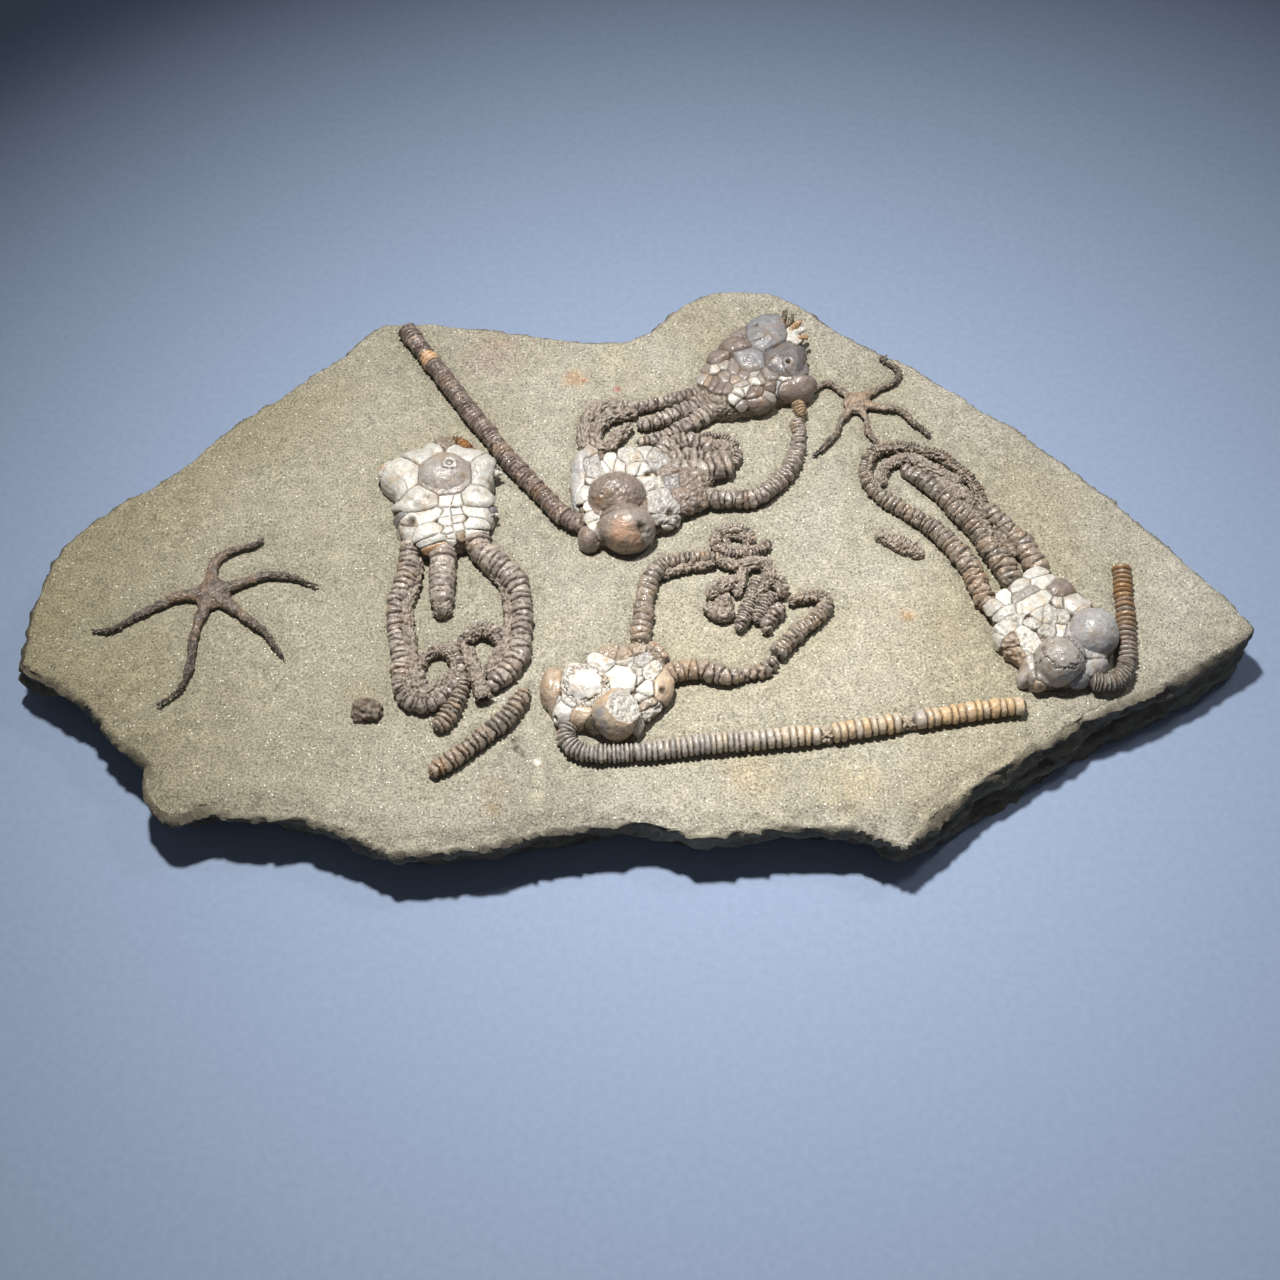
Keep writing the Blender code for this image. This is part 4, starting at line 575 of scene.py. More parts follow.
# Cup plates seen from above: place, half sizes across, shade, and, where it is not the
# usual one, the turn and the bulge
PLATES = {
    "crinoid_a_cup": [(-67.8, 23, 10, 9.5, "S", 0, 1), (-84.6, 22.8, 7, 8.2, "P", 15, 0.9),
        (-55.5, 24.9, 5.4, 8, "P", -10, 1.2), (-90.4, 27.4, 2.9, 3, "P"), (-51.7, 26.3, 3.6, 2, "G"),
        (-77, 32.4, 5.2, 3.8, "P"), (-61.6, 32.5, 5.1, 3.8, "P"), (-76.9, 12.1, 6.7, 6.3, "P", 0, 1.4),
        (-56.4, 14.7, 5.7, 6.4, "P", 0, 1.2), (-67.1, 12.9, 2.7, 3.8, "W"), (-63.8, 12.1, 1.9, 3.3, "W"),
        (-76.4, 4.8, 9, 3, "P", 18), (-82.9, 4.8, 4, 1.7, "G", 18), (-72.6, -1.4, 5.2, 2.5, "P", 18),
        (-70.4, -4.5, 4.4, 1.8, "P", 20), (-69.3, -6.6, 4, 2, "O", 22), (-67.3, 6.6, 1.8, 1.9, "W"),
        (-66.8, 2.9, 1.8, 1.9, "W"), (-66, -1, 1.9, 1.6, "P"), (-64.9, -3.1, 1.7, 1.3, "W"),
        (-64.8, -4.7, 1.4, 1.3, "P"), (-63.5, 7.4, 1.8, 1.6, "W"), (-62.9, 4, 1.9, 1.7, "P"),
        (-62.2, 0.3, 1.8, 1.7, "P"), (-61.2, -2.3, 1.7, 1.6, "T"), (-55.5, 7.7, 6.1, 2.5, "P", -8),
        (-50.6, 9.5, 2.8, 1.3, "G"), (-56.7, 1.9, 3.7, 2.2, "W"), (-56.9, -0.8, 3.7, 2.2, "W"),
        (-81.9, 0.2, 3.9, 4.8, "P", 25)],
    "crinoid_b_cup": [(46.7, 90.3, 7.8, 8.9, "G", 0, 2.4), (38, 91.5, 3.2, 3.3, "M", 20),
        (35.1, 85.3, 5.4, 3.4, "N", -8, 1.5), (39.5, 88.9, 2, 3.2, "N", 0, 0.8),
        (56.6, 89.5, 2.7, 3.1, "P"), (40.6, 76.6, 5.6, 5.3, "G", 0, 1.5),
        (53.3, 77.7, 7.7, 8.8, "D", 0, 2.8), (58.1, 74.7, 3, 4.2, "D", -20, 0.5),
        (56.3, 63.6, 6.1, 4.3, "N", 10), (55.5, 66, 3.9, 1.4, "W", -25),
        (28.1, 78.7, 3.4, 3.3, "N", 0, 1.4), (26.9, 73.1, 1.8, 1.8, "P"), (30.6, 74.9, 2, 1.8, "B"),
        (24.1, 74.4, 1.7, 3, "M"), (22.7, 69.8, 1.8, 2.5, "B"), (24.9, 67.3, 1.7, 1.9, "T"),
        (27.4, 65.9, 2.3, 2.7, "N"), (31.1, 68.4, 2, 2.7, "M"), (35.1, 73.6, 2.6, 3.5, "M"),
        (38, 71.4, 2.3, 3.1, "M"), (34.6, 67.6, 2.3, 1.9, "T"), (37.1, 65.4, 2.6, 1.7, "B", 0, 0.2),
        (29, 64.6, 2.3, 2.3, "N"), (31.6, 64.1, 1.9, 2.3, "N"), (41.6, 71, 2, 1.6, "B", 20),
        (42.1, 66.7, 2, 1.6, "P", 0, 0.7), (38.7, 63.3, 1.8, 2.1, "P", 0, 0.9),
        (35.7, 62, 2, 2.4, "P", 0, 0.9), (34.4, 59, 1.8, 1.9, "P", 0, 0.8),
        (47.4, 70.1, 3.1, 3.1, "M", 0, 0.9), (48, 64.5, 1.9, 2.2, "N", 0, 0.8),
        (44.7, 68.9, 1.6, 2.3, "M"), (50.8, 64.2, 1.6, 2.3, "G"), (41.7, 61.7, 2.7, 3.1, "N", 0, 0.8),
        (43.8, 58, 4.2, 2.7, "N"), (46.8, 59.9, 2.2, 2.6, "B"), (37, 56.6, 1.6, 1.6, "M")],
    "crinoid_c_cup": [(-7.8, 12.2, 11.5, 9, "n", 0, 0.6), (-4.8, -2.1, 11.6, 9.6, "F", 0, 0.6),
        (-22.1, 25, 3.1, 11.6, "L", -5), (-20.3, 40.5, 2.3, 3.9, "T"), (-17.3, 27.6, 3.8, 6.3, "l", 35),
        (-10.4, 30.7, 1.8, 3.5, "W"), (-13.2, 27.1, 2.4, 2.4, "W", 35), (-16, 23.3, 2.4, 2.2, "P", 35),
        (-20.3, 16.1, 3.4, 2.6, "P"), (-7.2, 28.7, 2, 2.9, "P"), (-3.1, 32.8, 4.1, 3.4, "p", 10),
        (-2.3, 28.2, 2.4, 2.9, "P"), (1.1, 26.6, 1.8, 2.7, "W"), (1.6, 35.5, 2.4, 3.2, "P"),
        (5.8, 32.1, 3.3, 4.8, "l"), (2.3, 23, 2.4, 1.9, "P"), (5.4, 20, 2.8, 2.9, "p"),
        (6.9, 13.9, 4.6, 5, "l"), (10.1, 11.6, 3.2, 3.1, "l"), (10.1, 5.5, 4.3, 2, "l", -5),
        (10.5, 4.4, 2.1, 1.6, "P"), (-17, 11.1, 2.1, 2, "P"), (-16.8, 6.6, 2.1, 2.4, "P"),
        (-16.3, 2.2, 1.6, 3.3, "P"), (-17.6, -2.8, 3.1, 4.4, "N", 10), (12.2, 22, 3.6, 3.8, "g"),
        (16.2, 22, 4, 4.3, "n", 20), (14.6, 16.4, 3.6, 3.7, "n"), (19.4, 17.8, 3.3, 3.2, "n"),
        (19, 13.3, 3.8, 2.8, "n", 25), (10.6, 26.1, 3.2, 2.4, "n")],
    "crinoid_d_cup": [(-17.7, -63.8, 7.4, 6.7, "W", -10, 0.8), (-21.4, -67, 4, 2.7, "P", 35),
        (-12.5, -53.4, 3.4, 3.2, "W", 10, 1.2), (-5.6, -59.8, 4.8, 4.7, "W", 20, 1.4),
        (-0.9, -60.2, 1.4, 1.6, "P", 0, 0.7), (1.9, -64, 2.1, 2.6, "W", 0, 0.7),
        (0.7, -67.4, 1.8, 1.6, "P"), (2.7, -69.6, 3, 2.5, "t"), (-7.7, -76.3, 8, 8.4, "C", 0, 0.7),
        (-29, -63.1, 2.5, 7.2, "T"), (-27.9, -68.1, 2, 1.8, "P"), (-25.8, -72, 3.2, 3.9, "P", 10),
        (-19.7, -74, 2.3, 4.4, "C", -35), (-15.4, -77, 1.9, 2.4, "K"), (-0.2, -76.2, 2, 3.1, "L", 5),
        (3.7, -71, 3.2, 2.1, "p", 20), (7.8, -62.1, 2.8, 5, "C", -10, 0.3),
        (-9.6, -49.1, 3, 3.2, "t", -10), (-5.3, -50.1, 3, 3.4, "t"), (-4.1, -53, 2.7, 2.2, "p"),
        (0.4, -53.4, 3, 2.9, "l", 20), (3.2, -56.6, 3, 2.9, "p", 30), (-0.5, -56.6, 2.1, 2.2, "p", 20),
        (-1.4, -48.1, 2.4, 2.2, "t", 25)],
    "crinoid_e_cup": [(135.6, -56.2, 9.5, 9.4, "B", 0, 0.6), (148.9, -44.5, 9.2, 9.5, "H", 0, 0.6),
        (148.7, -54.2, 4.1, 3.6, "L"), (144.2, -59.7, 2.7, 2.3, "G"),
        (145.5, -29.8, 3.8, 3.7, "P", 0, 1.2), (151.1, -22.7, 1.8, 2.6, "G"),
        (141.7, -24.2, 3.8, 3.3, "N", 10, 1), (140.3, -29.6, 1.6, 1.8, "P", 0, 0.8),
        (132.1, -29.6, 6.7, 2.9, "P", 30), (129.8, -25.9, 4.9, 2.2, "B", 32),
        (135.5, -21.2, 3.7, 2.3, "P", 25), (134.4, -17.1, 3.3, 2.3, "P", 22),
        (128.9, -22.9, 3, 2.3, "P", 30), (122.2, -27.2, 2, 2.9, "W"), (118.4, -30.5, 2.9, 2.3, "P"),
        (122.1, -33.5, 3.5, 1.9, "P", 20), (121.9, -38.7, 5.6, 2.7, "w", 28),
        (118.2, -41.8, 3.6, 2.2, "P", 30), (123.2, -45.3, 2.8, 2.2, "t", 20),
        (127.9, -44.5, 2.9, 4.7, "w", 15), (130.7, -38.2, 2.2, 1.6, "w"), (136.5, -35.1, 3.3, 3.2, "w"),
        (133.6, -34.6, 2.2, 2.6, "P", 0, 0.2), (140.2, -35.5, 2.2, 2.6, "p", 0, 0.2),
        (135.8, -40.5, 2.7, 2.1, "p"), (139.5, -40.7, 1.8, 2.1, "W"), (123.5, -48.9, 3, 3.3, "t"),
        (127.2, -56.2, 3.5, 7.2, "B", -32), (129.8, -61, 1.9, 2.1, "T")],
}


# Shaping helpers --------------------------------------------------------------------

def deselect():
    if bpy.context.object and bpy.context.object.mode != "OBJECT":
        bpy.ops.object.mode_set(mode="OBJECT")
    bpy.ops.object.select_all(action="DESELECT")


def select_only(obj):
    deselect()
    obj.select_set(True)
    bpy.context.view_layer.objects.active = obj


def add_ball(subdivisions):
    deselect()
    bpy.ops.mesh.primitive_ico_sphere_add(subdivisions=subdivisions, radius=1)
    return bpy.context.object


def face_outwards(obj, weld=0.0):
    """Turns every face outwards, after joining points closer than weld metres."""
    select_only(obj)
    bpy.ops.object.mode_set(mode="EDIT")
    bpy.ops.mesh.select_all(action="SELECT")
    if weld:
        bpy.ops.mesh.remove_doubles(threshold=weld)
    bpy.ops.mesh.normals_make_consistent(inside=False)
    bpy.ops.object.mode_set(mode="OBJECT")


def apply_modifier(obj, kind, **settings):
    select_only(obj)
    change = obj.modifiers.new(kind.lower(), kind)
    for name, value in settings.items():
        setattr(change, name, value)
    bpy.ops.object.modifier_apply(modifier=change.name)


def fuse(obj, grid, rounds=0):
    """Melts overlapping shells into one skin of an even grid, smoothed over in rounds."""
    apply_modifier(obj, "REMESH", mode="VOXEL", voxel_size=grid * MM)
    if rounds:
        apply_modifier(obj, "SMOOTH", iterations=rounds)


def search_tree(points):
    tree = kdtree.KDTree(len(points))
    for i, point in enumerate(points):
        tree.insert(point, i)
    tree.balance()
    return tree


def ramp(value, low, high):
    """0 at low, 1 at high."""
    return np.clip((value - low) / (high - low), 0, 1)


def bell(distance, width):
    """1 where the distance is 0, down to about a third at width."""
    return np.exp(-(distance / width) ** 2)


def lumps(points, size, octaves, seed):
    """Smooth noise from about -1 to 1 at each point; its widest lumps are size mm."""
    shift = Vector((seed * 17.3, seed * 9.1, seed * 5.7))
    return np.array([noise.fractal(Vector(p) / size + shift, 1.0, 2.0, octaves)
                     for p in points])


def cells(points, size, seed):
    """Distance to the nearest of scattered points, in cells: 0 at the middle of each."""
    shift = Vector((seed * 11.3, seed * 7.1, seed * 3.7))
    return np.array([noise.voronoi(Vector(p) / size + shift)[0][0] for p in points])


def coordinates(mesh):
    flat = np.empty(len(mesh.vertices) * 3)
    mesh.vertices.foreach_get("co", flat)
    return flat.reshape(-1, 3)


def put_coordinates(mesh, points):
    mesh.vertices.foreach_set("co", np.ascontiguousarray(points, dtype=float).ravel())
    mesh.update()


def store(mesh, name, values):
    """Keeps a colour for each vertex; materials read it by name."""
    layer = mesh.color_attributes.new(name, "FLOAT_COLOR", "POINT")
    full = np.ones((len(mesh.vertices), 4))
    full[:, :3] = values
    layer.data.foreach_set("color", full.ravel())


def keep_wear_and_shade(obj, *shares):
    """Keeps the three shares that the materials read as wear and painted shade."""
    store(obj.data, "wear_and_shade", np.column_stack(np.broadcast_arrays(*shares)))


def normals_of(mesh):
    flat = np.empty(len(mesh.vertices) * 3)
    mesh.vertices.foreach_get("normal", flat)
    return flat.reshape(-1, 3)


def hollows(mesh, rounds, depth):
    """How far each point lies in a groove: 1 where it is depth mm below its neighbours."""
    points = coordinates(mesh) / MM
    ends = np.empty(len(mesh.edges) * 2, dtype=np.int32)
    mesh.edges.foreach_get("vertices", ends)
    a, b = ends.reshape(-1, 2).T
    count = np.bincount(a, minlength=len(points)) + np.bincount(b, minlength=len(points))
    even = points
    for _ in range(rounds):
        even = np.column_stack([
            np.bincount(a, even[b, k], len(points)) + np.bincount(b, even[a, k], len(points))
            for k in range(3)]) / np.maximum(count, 1)[:, None]
    return ((even - points) * normals_of(mesh)).sum(1) / depth


def join(parts, name):
    """Makes one object of several."""
    deselect()
    for part in parts:
        part.select_set(True)
    bpy.context.view_layer.objects.active = parts[0]
    if len(parts) > 1:
        bpy.ops.object.join()
    parts[0].name = name
    return parts[0]


def in_world(points):
    """Millimetres over the bedding face to metres over the table."""
    return (np.asarray(points, dtype=float) + (0, 0, FACE)) * MM


def finish_piece(obj, material, angle):
    """Smooth shading, one material, and its place in the frame."""
    select_only(obj)
    bpy.ops.object.shade_smooth_by_angle(angle=math.radians(angle))
    obj.data.materials.clear()
    obj.data.materials.append(material)
    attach(obj, "root")


# Stems and arms ---------------------------------------------------------------------

# How the plates of each kind of strand meet: groove width and depth, how far each plate
# rises towards its outer rim, wedge, waviness of the groove, unevenness of the plates,
# and how dark the groove is painted: dark matrix with painted shade
JOINTS = {
    "disc": (0.33, 0.95, 0.10, 0.0, 0.12, 0.08, 1.05),
    "worn": (0.26, 0.50, 0.15, 0.0, 0.20, 0.12, 0.45),
    "ring": (0.30, 0.85, 0.60, 0.24, 0.28, 0.14, 0.50),
    "tile": (0.27, 0.90, 0.95, 0.14, 0.24, 0.14, 0.50),
    "block": (0.40, 1.15, 0.55, 0.20, 0.45, 0.32, 0.55),
    "skin": (0.22, 0.12, 0.05, 0.0, 0.25, 0.05, 0.15),
    "grit": (0.40, 0.20, 0.10, 0.0, 0.40, 0.20, 0.10),
}


def dense_line(route, parts=24):
    """Smooth line through the given points (Catmull-Rom)."""
    pts = np.array(route, dtype=float)
    pts = np.vstack([pts[0] * 2 - pts[1], pts, pts[-1] * 2 - pts[-2]])
    t = np.arange(parts)[:, None] / parts
    runs = [0.5 * (2 * b + (c - a) * t + (2 * a - 5 * b + 4 * c - d) * t * t
                   + (3 * b - a - 3 * c + d) * t ** 3)
            for a, b, c, d in zip(pts, pts[1:], pts[2:], pts[3:])]
    return np.vstack(runs + [pts[-2:-1]])


def long_cylinder(around_it, lengths):
    """A cylinder of radius and length 1, cut into lengths, its ends inset twice."""
    deselect()
    bpy.ops.mesh.primitive_cylinder_add(vertices=around_it, radius=1, depth=1)
    obj = bpy.context.object
    bpy.ops.object.mode_set(mode="EDIT")
    for cuts in (12, max(1, math.ceil(lengths / 12))):
        if cuts < 2:
            continue
        bpy.ops.mesh.select_all(action="DESELECT")
        bm = bmesh.from_edit_mesh(obj.data)
        for edge in bm.edges:
            edge.select_set(abs(edge.verts[0].co.z - edge.verts[1].co.z) > 1e-4)
        bmesh.update_edit_mesh(obj.data)
        bpy.ops.mesh.subdivide(number_cuts=cuts - 1)
    bpy.ops.mesh.select_all(action="DESELECT")
    bm = bmesh.from_edit_mesh(obj.data)
    for face in bm.faces:
        face.select_set(abs(face.normal.z) > 0.5)
    bmesh.update_edit_mesh(obj.data)
    for thickness in (0.25, 0.35):
        bpy.ops.mesh.inset(thickness=thickness)
    bpy.ops.object.mode_set(mode="OBJECT")
    return obj


def plate_at(along, side, turn, pitches, total, wedge, wave, dice):
    """Which plate each point is on, how far along that plate, and how near a groove."""
    joints = [0.0]
    while joints[-1] < total:
        joints.append(joints[-1] + pitches[len(joints) % len(pitches)]
                      * dice.normal(1, 0.05))
    joints = np.array(joints) * total / joints[-1]
    number = len(joints)
    slant = wedge * np.diff(joints, append=total) * (-1.0) ** np.arange(number)
    slant += dice.normal(0, 0.08, number)
    phase = dice.uniform(0, 2 * math.pi, (number, 2))
    owner = np.zeros(len(along), dtype=int)
    before = np.full(len(along), 9.0)
    after = np.full(len(along), 9.0)
    nearest = np.searchsorted(joints, along) - 1
    for step in (-1, 0, 1, 2):
        j = np.clip(nearest + step, 0, number - 1)
        off = along - joints[j] - slant[j] * side - wave * (
            0.6 * np.sin(2 * turn + phase[j, 0]) + 0.4 * np.sin(5 * turn + phase[j, 1]))
        passed = (off >= 0) & (off < before)
        owner = np.where(passed, j, owner)
        before = np.where(passed, off, before)
        after = np.where((off < 0) & (-off < after), -off, after)
    return owner, before / (before + after), np.minimum(before, after)


def strand(kind, pitches, route, tone, seed, band=0, grain=1.05, squash=0.92, lift=0.27,
           end=0.3, lower=0.0, stretch=1.0):
    """One stem or arm laid along its route and cut into plates.  band is the side, 1 on
    the left going outwards, that is matted with fine branches; 0.4 of the width."""
    line = dense_line(route)
    reach = np.concatenate([[0], np.cumsum(np.hypot(*np.diff(line[:, :2], axis=0).T))])
    total = reach[-1]
    fine = kind == "grit" or band != 0
    obj = long_cylinder(max(22, int((10.5 if fine else 7) * line[:, 2].mean())),
                        total / min(0.26 if fine else 0.32, min(pitches) / 4.5))
    unit = coordinates(obj.data)
    rim = np.hypot(unit[:, 0], unit[:, 1])
    turn = np.arctan2(unit[:, 0], unit[:, 1])
    turn -= 0.5 * np.sin(turn)                 # closer rows on top than underneath
    side, rise = np.sin(turn), np.cos(turn)
    along = (unit[:, 2] + 0.5) * total
    x, y, width = (np.interp(along, reach, line[:, c]) for c in range(3))
    ahead = np.column_stack([np.interp(np.clip(along + 0.6, 0, total), reach, line[:, c])
                             - np.interp(np.clip(along - 0.6, 0, total), reach, line[:, c])
                             for c in (0, 1)])
    ahead /= np.linalg.norm(ahead, axis=1)[:, None]
    left = np.column_stack([-ahead[:, 1], ahead[:, 0]])

    # the grooves between plates, open in places and closed with stone in others
    dice = np.random.default_rng(seed)
    groove, depth, slope, wedge, wave, uneven, groove_shade = JOINTS[kind]
    owner, share, near = plate_at(along, side, turn, pitches, total, wedge, wave, dice)
    place = np.column_stack([x + left[:, 0] * side * width / 2,
                             y + left[:, 1] * side * width / 2, rise * width / 2])
    open_ = np.clip(0.68 + 1.1 * lumps(place, 3.5, 3, seed + 5), 0.08, 1.3)
    if kind == "disc":
        open_ = 0.5 + 0.5 * open_
    sizes = dice.normal(0, uneven, owner.max() + 1)
    sizes += 0.3 * (np.resize(pitches, len(sizes)) - np.mean(pitches))
    high = -depth * open_ * bell(near, groove)
    high += slope * (share - 0.5) + sizes[owner] + 0.25 * depth * (1 - (2 * share - 1) ** 2)
    # the grooves painted dark where they open: dark matrix with painted shade
    recess_shade = np.clip(groove_shade * open_ * bell(near / groove, 0.75) - 0.05, 0, 0.85)
    # matted fine branches: small knobs, along one side or all over
    grit = np.ones(len(x)) if kind == "grit" else np.zeros(len(x))
    if band:
        edge = band * side - 0.12 + 0.16 * lumps(place, 3, 2, seed)
        grit = np.clip(edge / 0.1 + 0.5, 0, 1)
        # a dark line of painted shade where the matted side meets the plates
        recess_shade = np.maximum(recess_shade * (1 - grit), 0.8 * bell(edge, 0.07))
        high -= 0.45 * bell(edge, 0.08)
    if grit.any():
        local = np.column_stack([along / stretch, side * width / 2, rise * width / 2])
        knob = 0.85 - 1.5 * cells(local, grain, seed)
        pebbled = (0.85 * grain * knob + 0.45 * lumps(place, 3.5, 2, seed + 1)
                   + 0.4 * lumps(local, 1.3, 2, seed + 6))
        high = high * (1 - grit) + (pebbled + 0.2 * high) * grit
        # painted shade in the pits between the knobs
        recess_shade = (recess_shade * (1 - 0.8 * grit)
                  + grit * np.clip(0.05 - knob * 1.3, 0, 0.85))
    rugged = 0.12 if kind in ("disc", "skin") else 0.36
    high += 0.3 * lumps(place, 5, 2, seed + 2) + rugged * lumps(place, 1.5, 3, seed + 3)
    high -= 0.5 * bell(np.minimum(along, total - along), 0.4)

    # flattened a little, and pushed out along its own surface
    across = width / 2
    upward = across * squash
    out = np.column_stack([side * upward, rise * across])
    out /= np.linalg.norm(out, axis=1)[:, None]
    inner = rim < 0.99
    offset = side * across + out[:, 0] * high
    up = rise * upward + out[:, 1] * high
    bulge = np.where(inner, end * across * np.sqrt(np.clip(1 - rim ** 2, 0, 1))
                     + 0.35 * lumps(place * 2.2, 2.0, 2, seed + 4), 0)
    bulge *= np.sign(unit[:, 2])
    points = np.column_stack([
        x + left[:, 0] * offset * rim + ahead[:, 0] * bulge,
        y + left[:, 1] * offset * rim + ahead[:, 1] * bulge,
        width * lift - lower + up * rim])
    put_coordinates(obj.data, in_world(points))
    if end < 0:                                # a hollow end is dark
        recess_shade = np.maximum(recess_shade, np.where(inner, 0.95, 0))
    # shade painted into every hollow of the surface
    cavity_shade = np.clip(hollows(obj.data, 2, 0.2) - 0.2, 0, 0.8)
    spread = 0.15 if kind == "disc" else 0.11
    shade = tone((x, y)) + dice.normal(0, spread, owner.max() + 1)[owner]
    # each plate lighter towards its raised outer rim: worn crest and painted highlight
    shade += 0.12 * (share - 0.5) * (kind != "grit")
    keep_wear_and_shade(obj, shade, np.maximum(recess_shade, cavity_shade), grit * 0.8)
    return obj


# Slab -------------------------------------------------------------------------------

def distance_to_fossils(x, y):
    """How far each point of the bedding face is from the nearest fossil."""
    ground = []
    for parts in list(STRANDS.values()) + [[("", (), {}, arm) for arm in arms]
                                           for _, arms in STARS.values()]:
        for _, _, _, route in parts:
            ground += [tuple(p) for p in dense_line(route, 5)]
    tree = search_tree([(gx, gy, 0) for gx, gy, _ in ground])
    away = np.empty(len(x))
    for i, (px, py) in enumerate(zip(x, y)):
        _, index, reach = tree.find((px, py, 0))
        away[i] = reach - ground[index][2] / 2
    for outline in CUP_OUTLINES.values():
        rim = np.array(outline)
        for (ax, ay), (bx, by) in zip(rim, np.roll(rim, -1, axis=0)):
            share = ((x - ax) * (bx - ax) + (y - ay) * (by - ay)) / (
                (bx - ax) ** 2 + (by - ay) ** 2)
            share = np.clip(share, 0, 1)
            away = np.minimum(away, np.hypot(x - ax - share * (bx - ax),
                                             y - ay - share * (by - ay)))
    return np.maximum(away, 0)


def make_slab():
    """The slab's solid remeshed evenly, then broken, layered and worn."""
    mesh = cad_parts["slab"].data.copy()
    mesh.materials.clear()
    slab = bpy.data.objects.new("siltstone_slab", mesh)
    bpy.context.scene.collection.objects.link(slab)
    face_outwards(slab, weld=0.01 * MM)
    fuse(slab, SLAB_GRID)

    mesh = slab.data
    points = coordinates(mesh) / MM
    normals = normals_of(mesh)
    x, y, z = points.T
    top = ramp(normals[:, 2], 0.35, 0.85)
    side = 1 - ramp(np.abs(normals[:, 2]), 0.35, 0.85)
    under = ramp(-normals[:, 2], 0.35, 0.85) * (z > 1.0)

    # broken sides: ledges along the beds, chips of two sizes, rougher on the near side
    layered = points * (0.11, 0.11, 0.75)
    ledge = lumps(layered, 3.0, 3, 5)
    ledge = 0.3 * ledge + 0.7 * np.round(ledge * 2.4) / 2.4
    chips = cells(points * (1, 1, 1.6), 10, 3) - 0.42
    small = cells(points * (1, 1, 1.4), 4.2, 9) - 0.42
    rough = lumps(points, 3.2, 3, 8)
    near = ramp(-y, 35, 60)
    move = side * ((2.9 * ledge + 2.2 * chips + 1.5 * small) * (0.45 + 0.55 * near)
                   + 1.0 * rough + 0.2)
    # flakes gone from the bedding face along its rim
    arris = np.flatnonzero((normals[:, 2] > 0.4) & (normals[:, 2] < 0.85) & (z > 5))
    tree = search_tree([(x[i], y[i], 0) for i in arris])
    edge = np.full(len(points), 99.0)
    for i in np.flatnonzero(top > 0):
        edge[i] = tree.find((x[i], y[i], 0))[2]
    loose = 0.9 * chips + 0.8 * small + 0.45 + 0.5 * lumps(points, 25, 2, 12)
    broken = bell(edge, 3 + 2.5 * near) * np.clip(loose, 0, 2)
    broken = 0.4 * broken + 0.6 * np.round(broken * 2) / 2
    move -= (top > 0) * 1.7 * broken * (0.25 + near)
    move += under * (1.2 * lumps(points, 14, 3, 4) + 0.3 * rough)
    # the bedding face, lower and picked by needles beside the fossils
    swell = (0.5 * lumps(points, 42, 2, 1) + 0.28 * lumps(points, 11, 3, 2)
             + 0.16 * lumps(points, 3, 2, 6))
    away = np.full(len(points), 99.0)
    shown = top > 0
    away[shown] = distance_to_fossils(x[shown], y[shown])
    beside = bell(away, 2.0)
    worked = bell(away, 8.0)
    picked = lumps(points, 2.2, 2, 7)
    move += top * (swell - 0.9 * beside - 0.5 * worked + 0.3 * worked * picked)

    points = points + normals * move[:, None]
    points[:, 2] = np.where(z < 0.9, 0.0, np.maximum(points[:, 2], 0.0))
    put_coordinates(mesh, points * MM)
    worn = slab.vertex_groups.new(name="worn")
    worn.add(np.flatnonzero((side > 0.1) | (edge < 6)).tolist(), 1.0, "REPLACE")
    apply_modifier(slab, "SMOOTH", iterations=2, vertex_group="worn")
    # shade painted into the low beds of the broken sides and into hollows near the rim
    crack_shade = np.clip(-ledge - 0.2, 0, 1) * side + 0.5 * np.clip(hollows(mesh, 3, 0.6), 0, 1)
    crack_shade = np.clip(crack_shade * ((side > 0.2) | (edge < 6)), 0, 1)
    # kept: sides and underside darker (their crust with painted shade), shade painted in cracks and
    # hollows, and the worked face
    keep_wear_and_shade(slab, np.maximum(side, under), crack_shade, worked * top)
    finish_piece(slab, siltstone(), 60)
    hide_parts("slab")


# Stems and arms made up ----------------------------------------------------------------

# Tone of each strand along its route, from dark at 0 to light or stained at 1
TONES = {
    "crinoid_a_stem": lambda p: ramp(p[0], -76, -62),
    "crinoid_c_stem": lambda p: 0.34 + 0.62 * (np.abs(p[1] - 82.5) < 2.0),
    "crinoid_d_stem": lambda p: ramp(p[0], -35, 110),
    "crinoid_e_stem": lambda p: ramp(p[1], -58, -20),
    "crinoid_e_arm_1": lambda p: 0.4 + 0.2 * ramp(p[1], 2, -24),
    "crinoid_e_arm_2": lambda p: 0.4 + 0.08 * ramp(p[1], 2, -18) - 0.25 * (p[1] > 17),
    "crinoid_e_arm_3": lambda p: 0.4 + 0.12 * ramp(p[1], 2, -14),
    "small_arm_piece": lambda p: 0.7,
    "loose_arm": lambda p: 0.4 + 0.3 * ramp(p[0], -48, -66),
    "crinoid_a_arm_5": lambda p: 0.4 + 0.12 * ramp(p[1], -60, -76),
    "crinoid_b_arm_3": lambda p: 0.42 + 0.6 * ramp(p[0], 22, 34),
    "crinoid_d_arm_1": lambda p: 0.42 + 0.25 * ramp(p[1], -36, -44),
    "crinoid_d_arm_2": lambda p: 0.45 + 0.25 * ramp(p[0], 20, 5),
}
STEM_FINISH = {
    "crinoid_a_stem": ("#8C8078", "#A28A70", "#AE7A48"),
    "crinoid_b_stem": ("#B59B7C", "#C0A88A"),
    "crinoid_c_stem": ("#584B45", "#75665E", "#96877B", "#C9A27C"),
    "crinoid_d_stem": ("#948D87", "#ABA29A", "#BBAD99", "#C7A982"),
    "crinoid_e_stem": ("#8F877C", "#857466", "#94724E"),
}


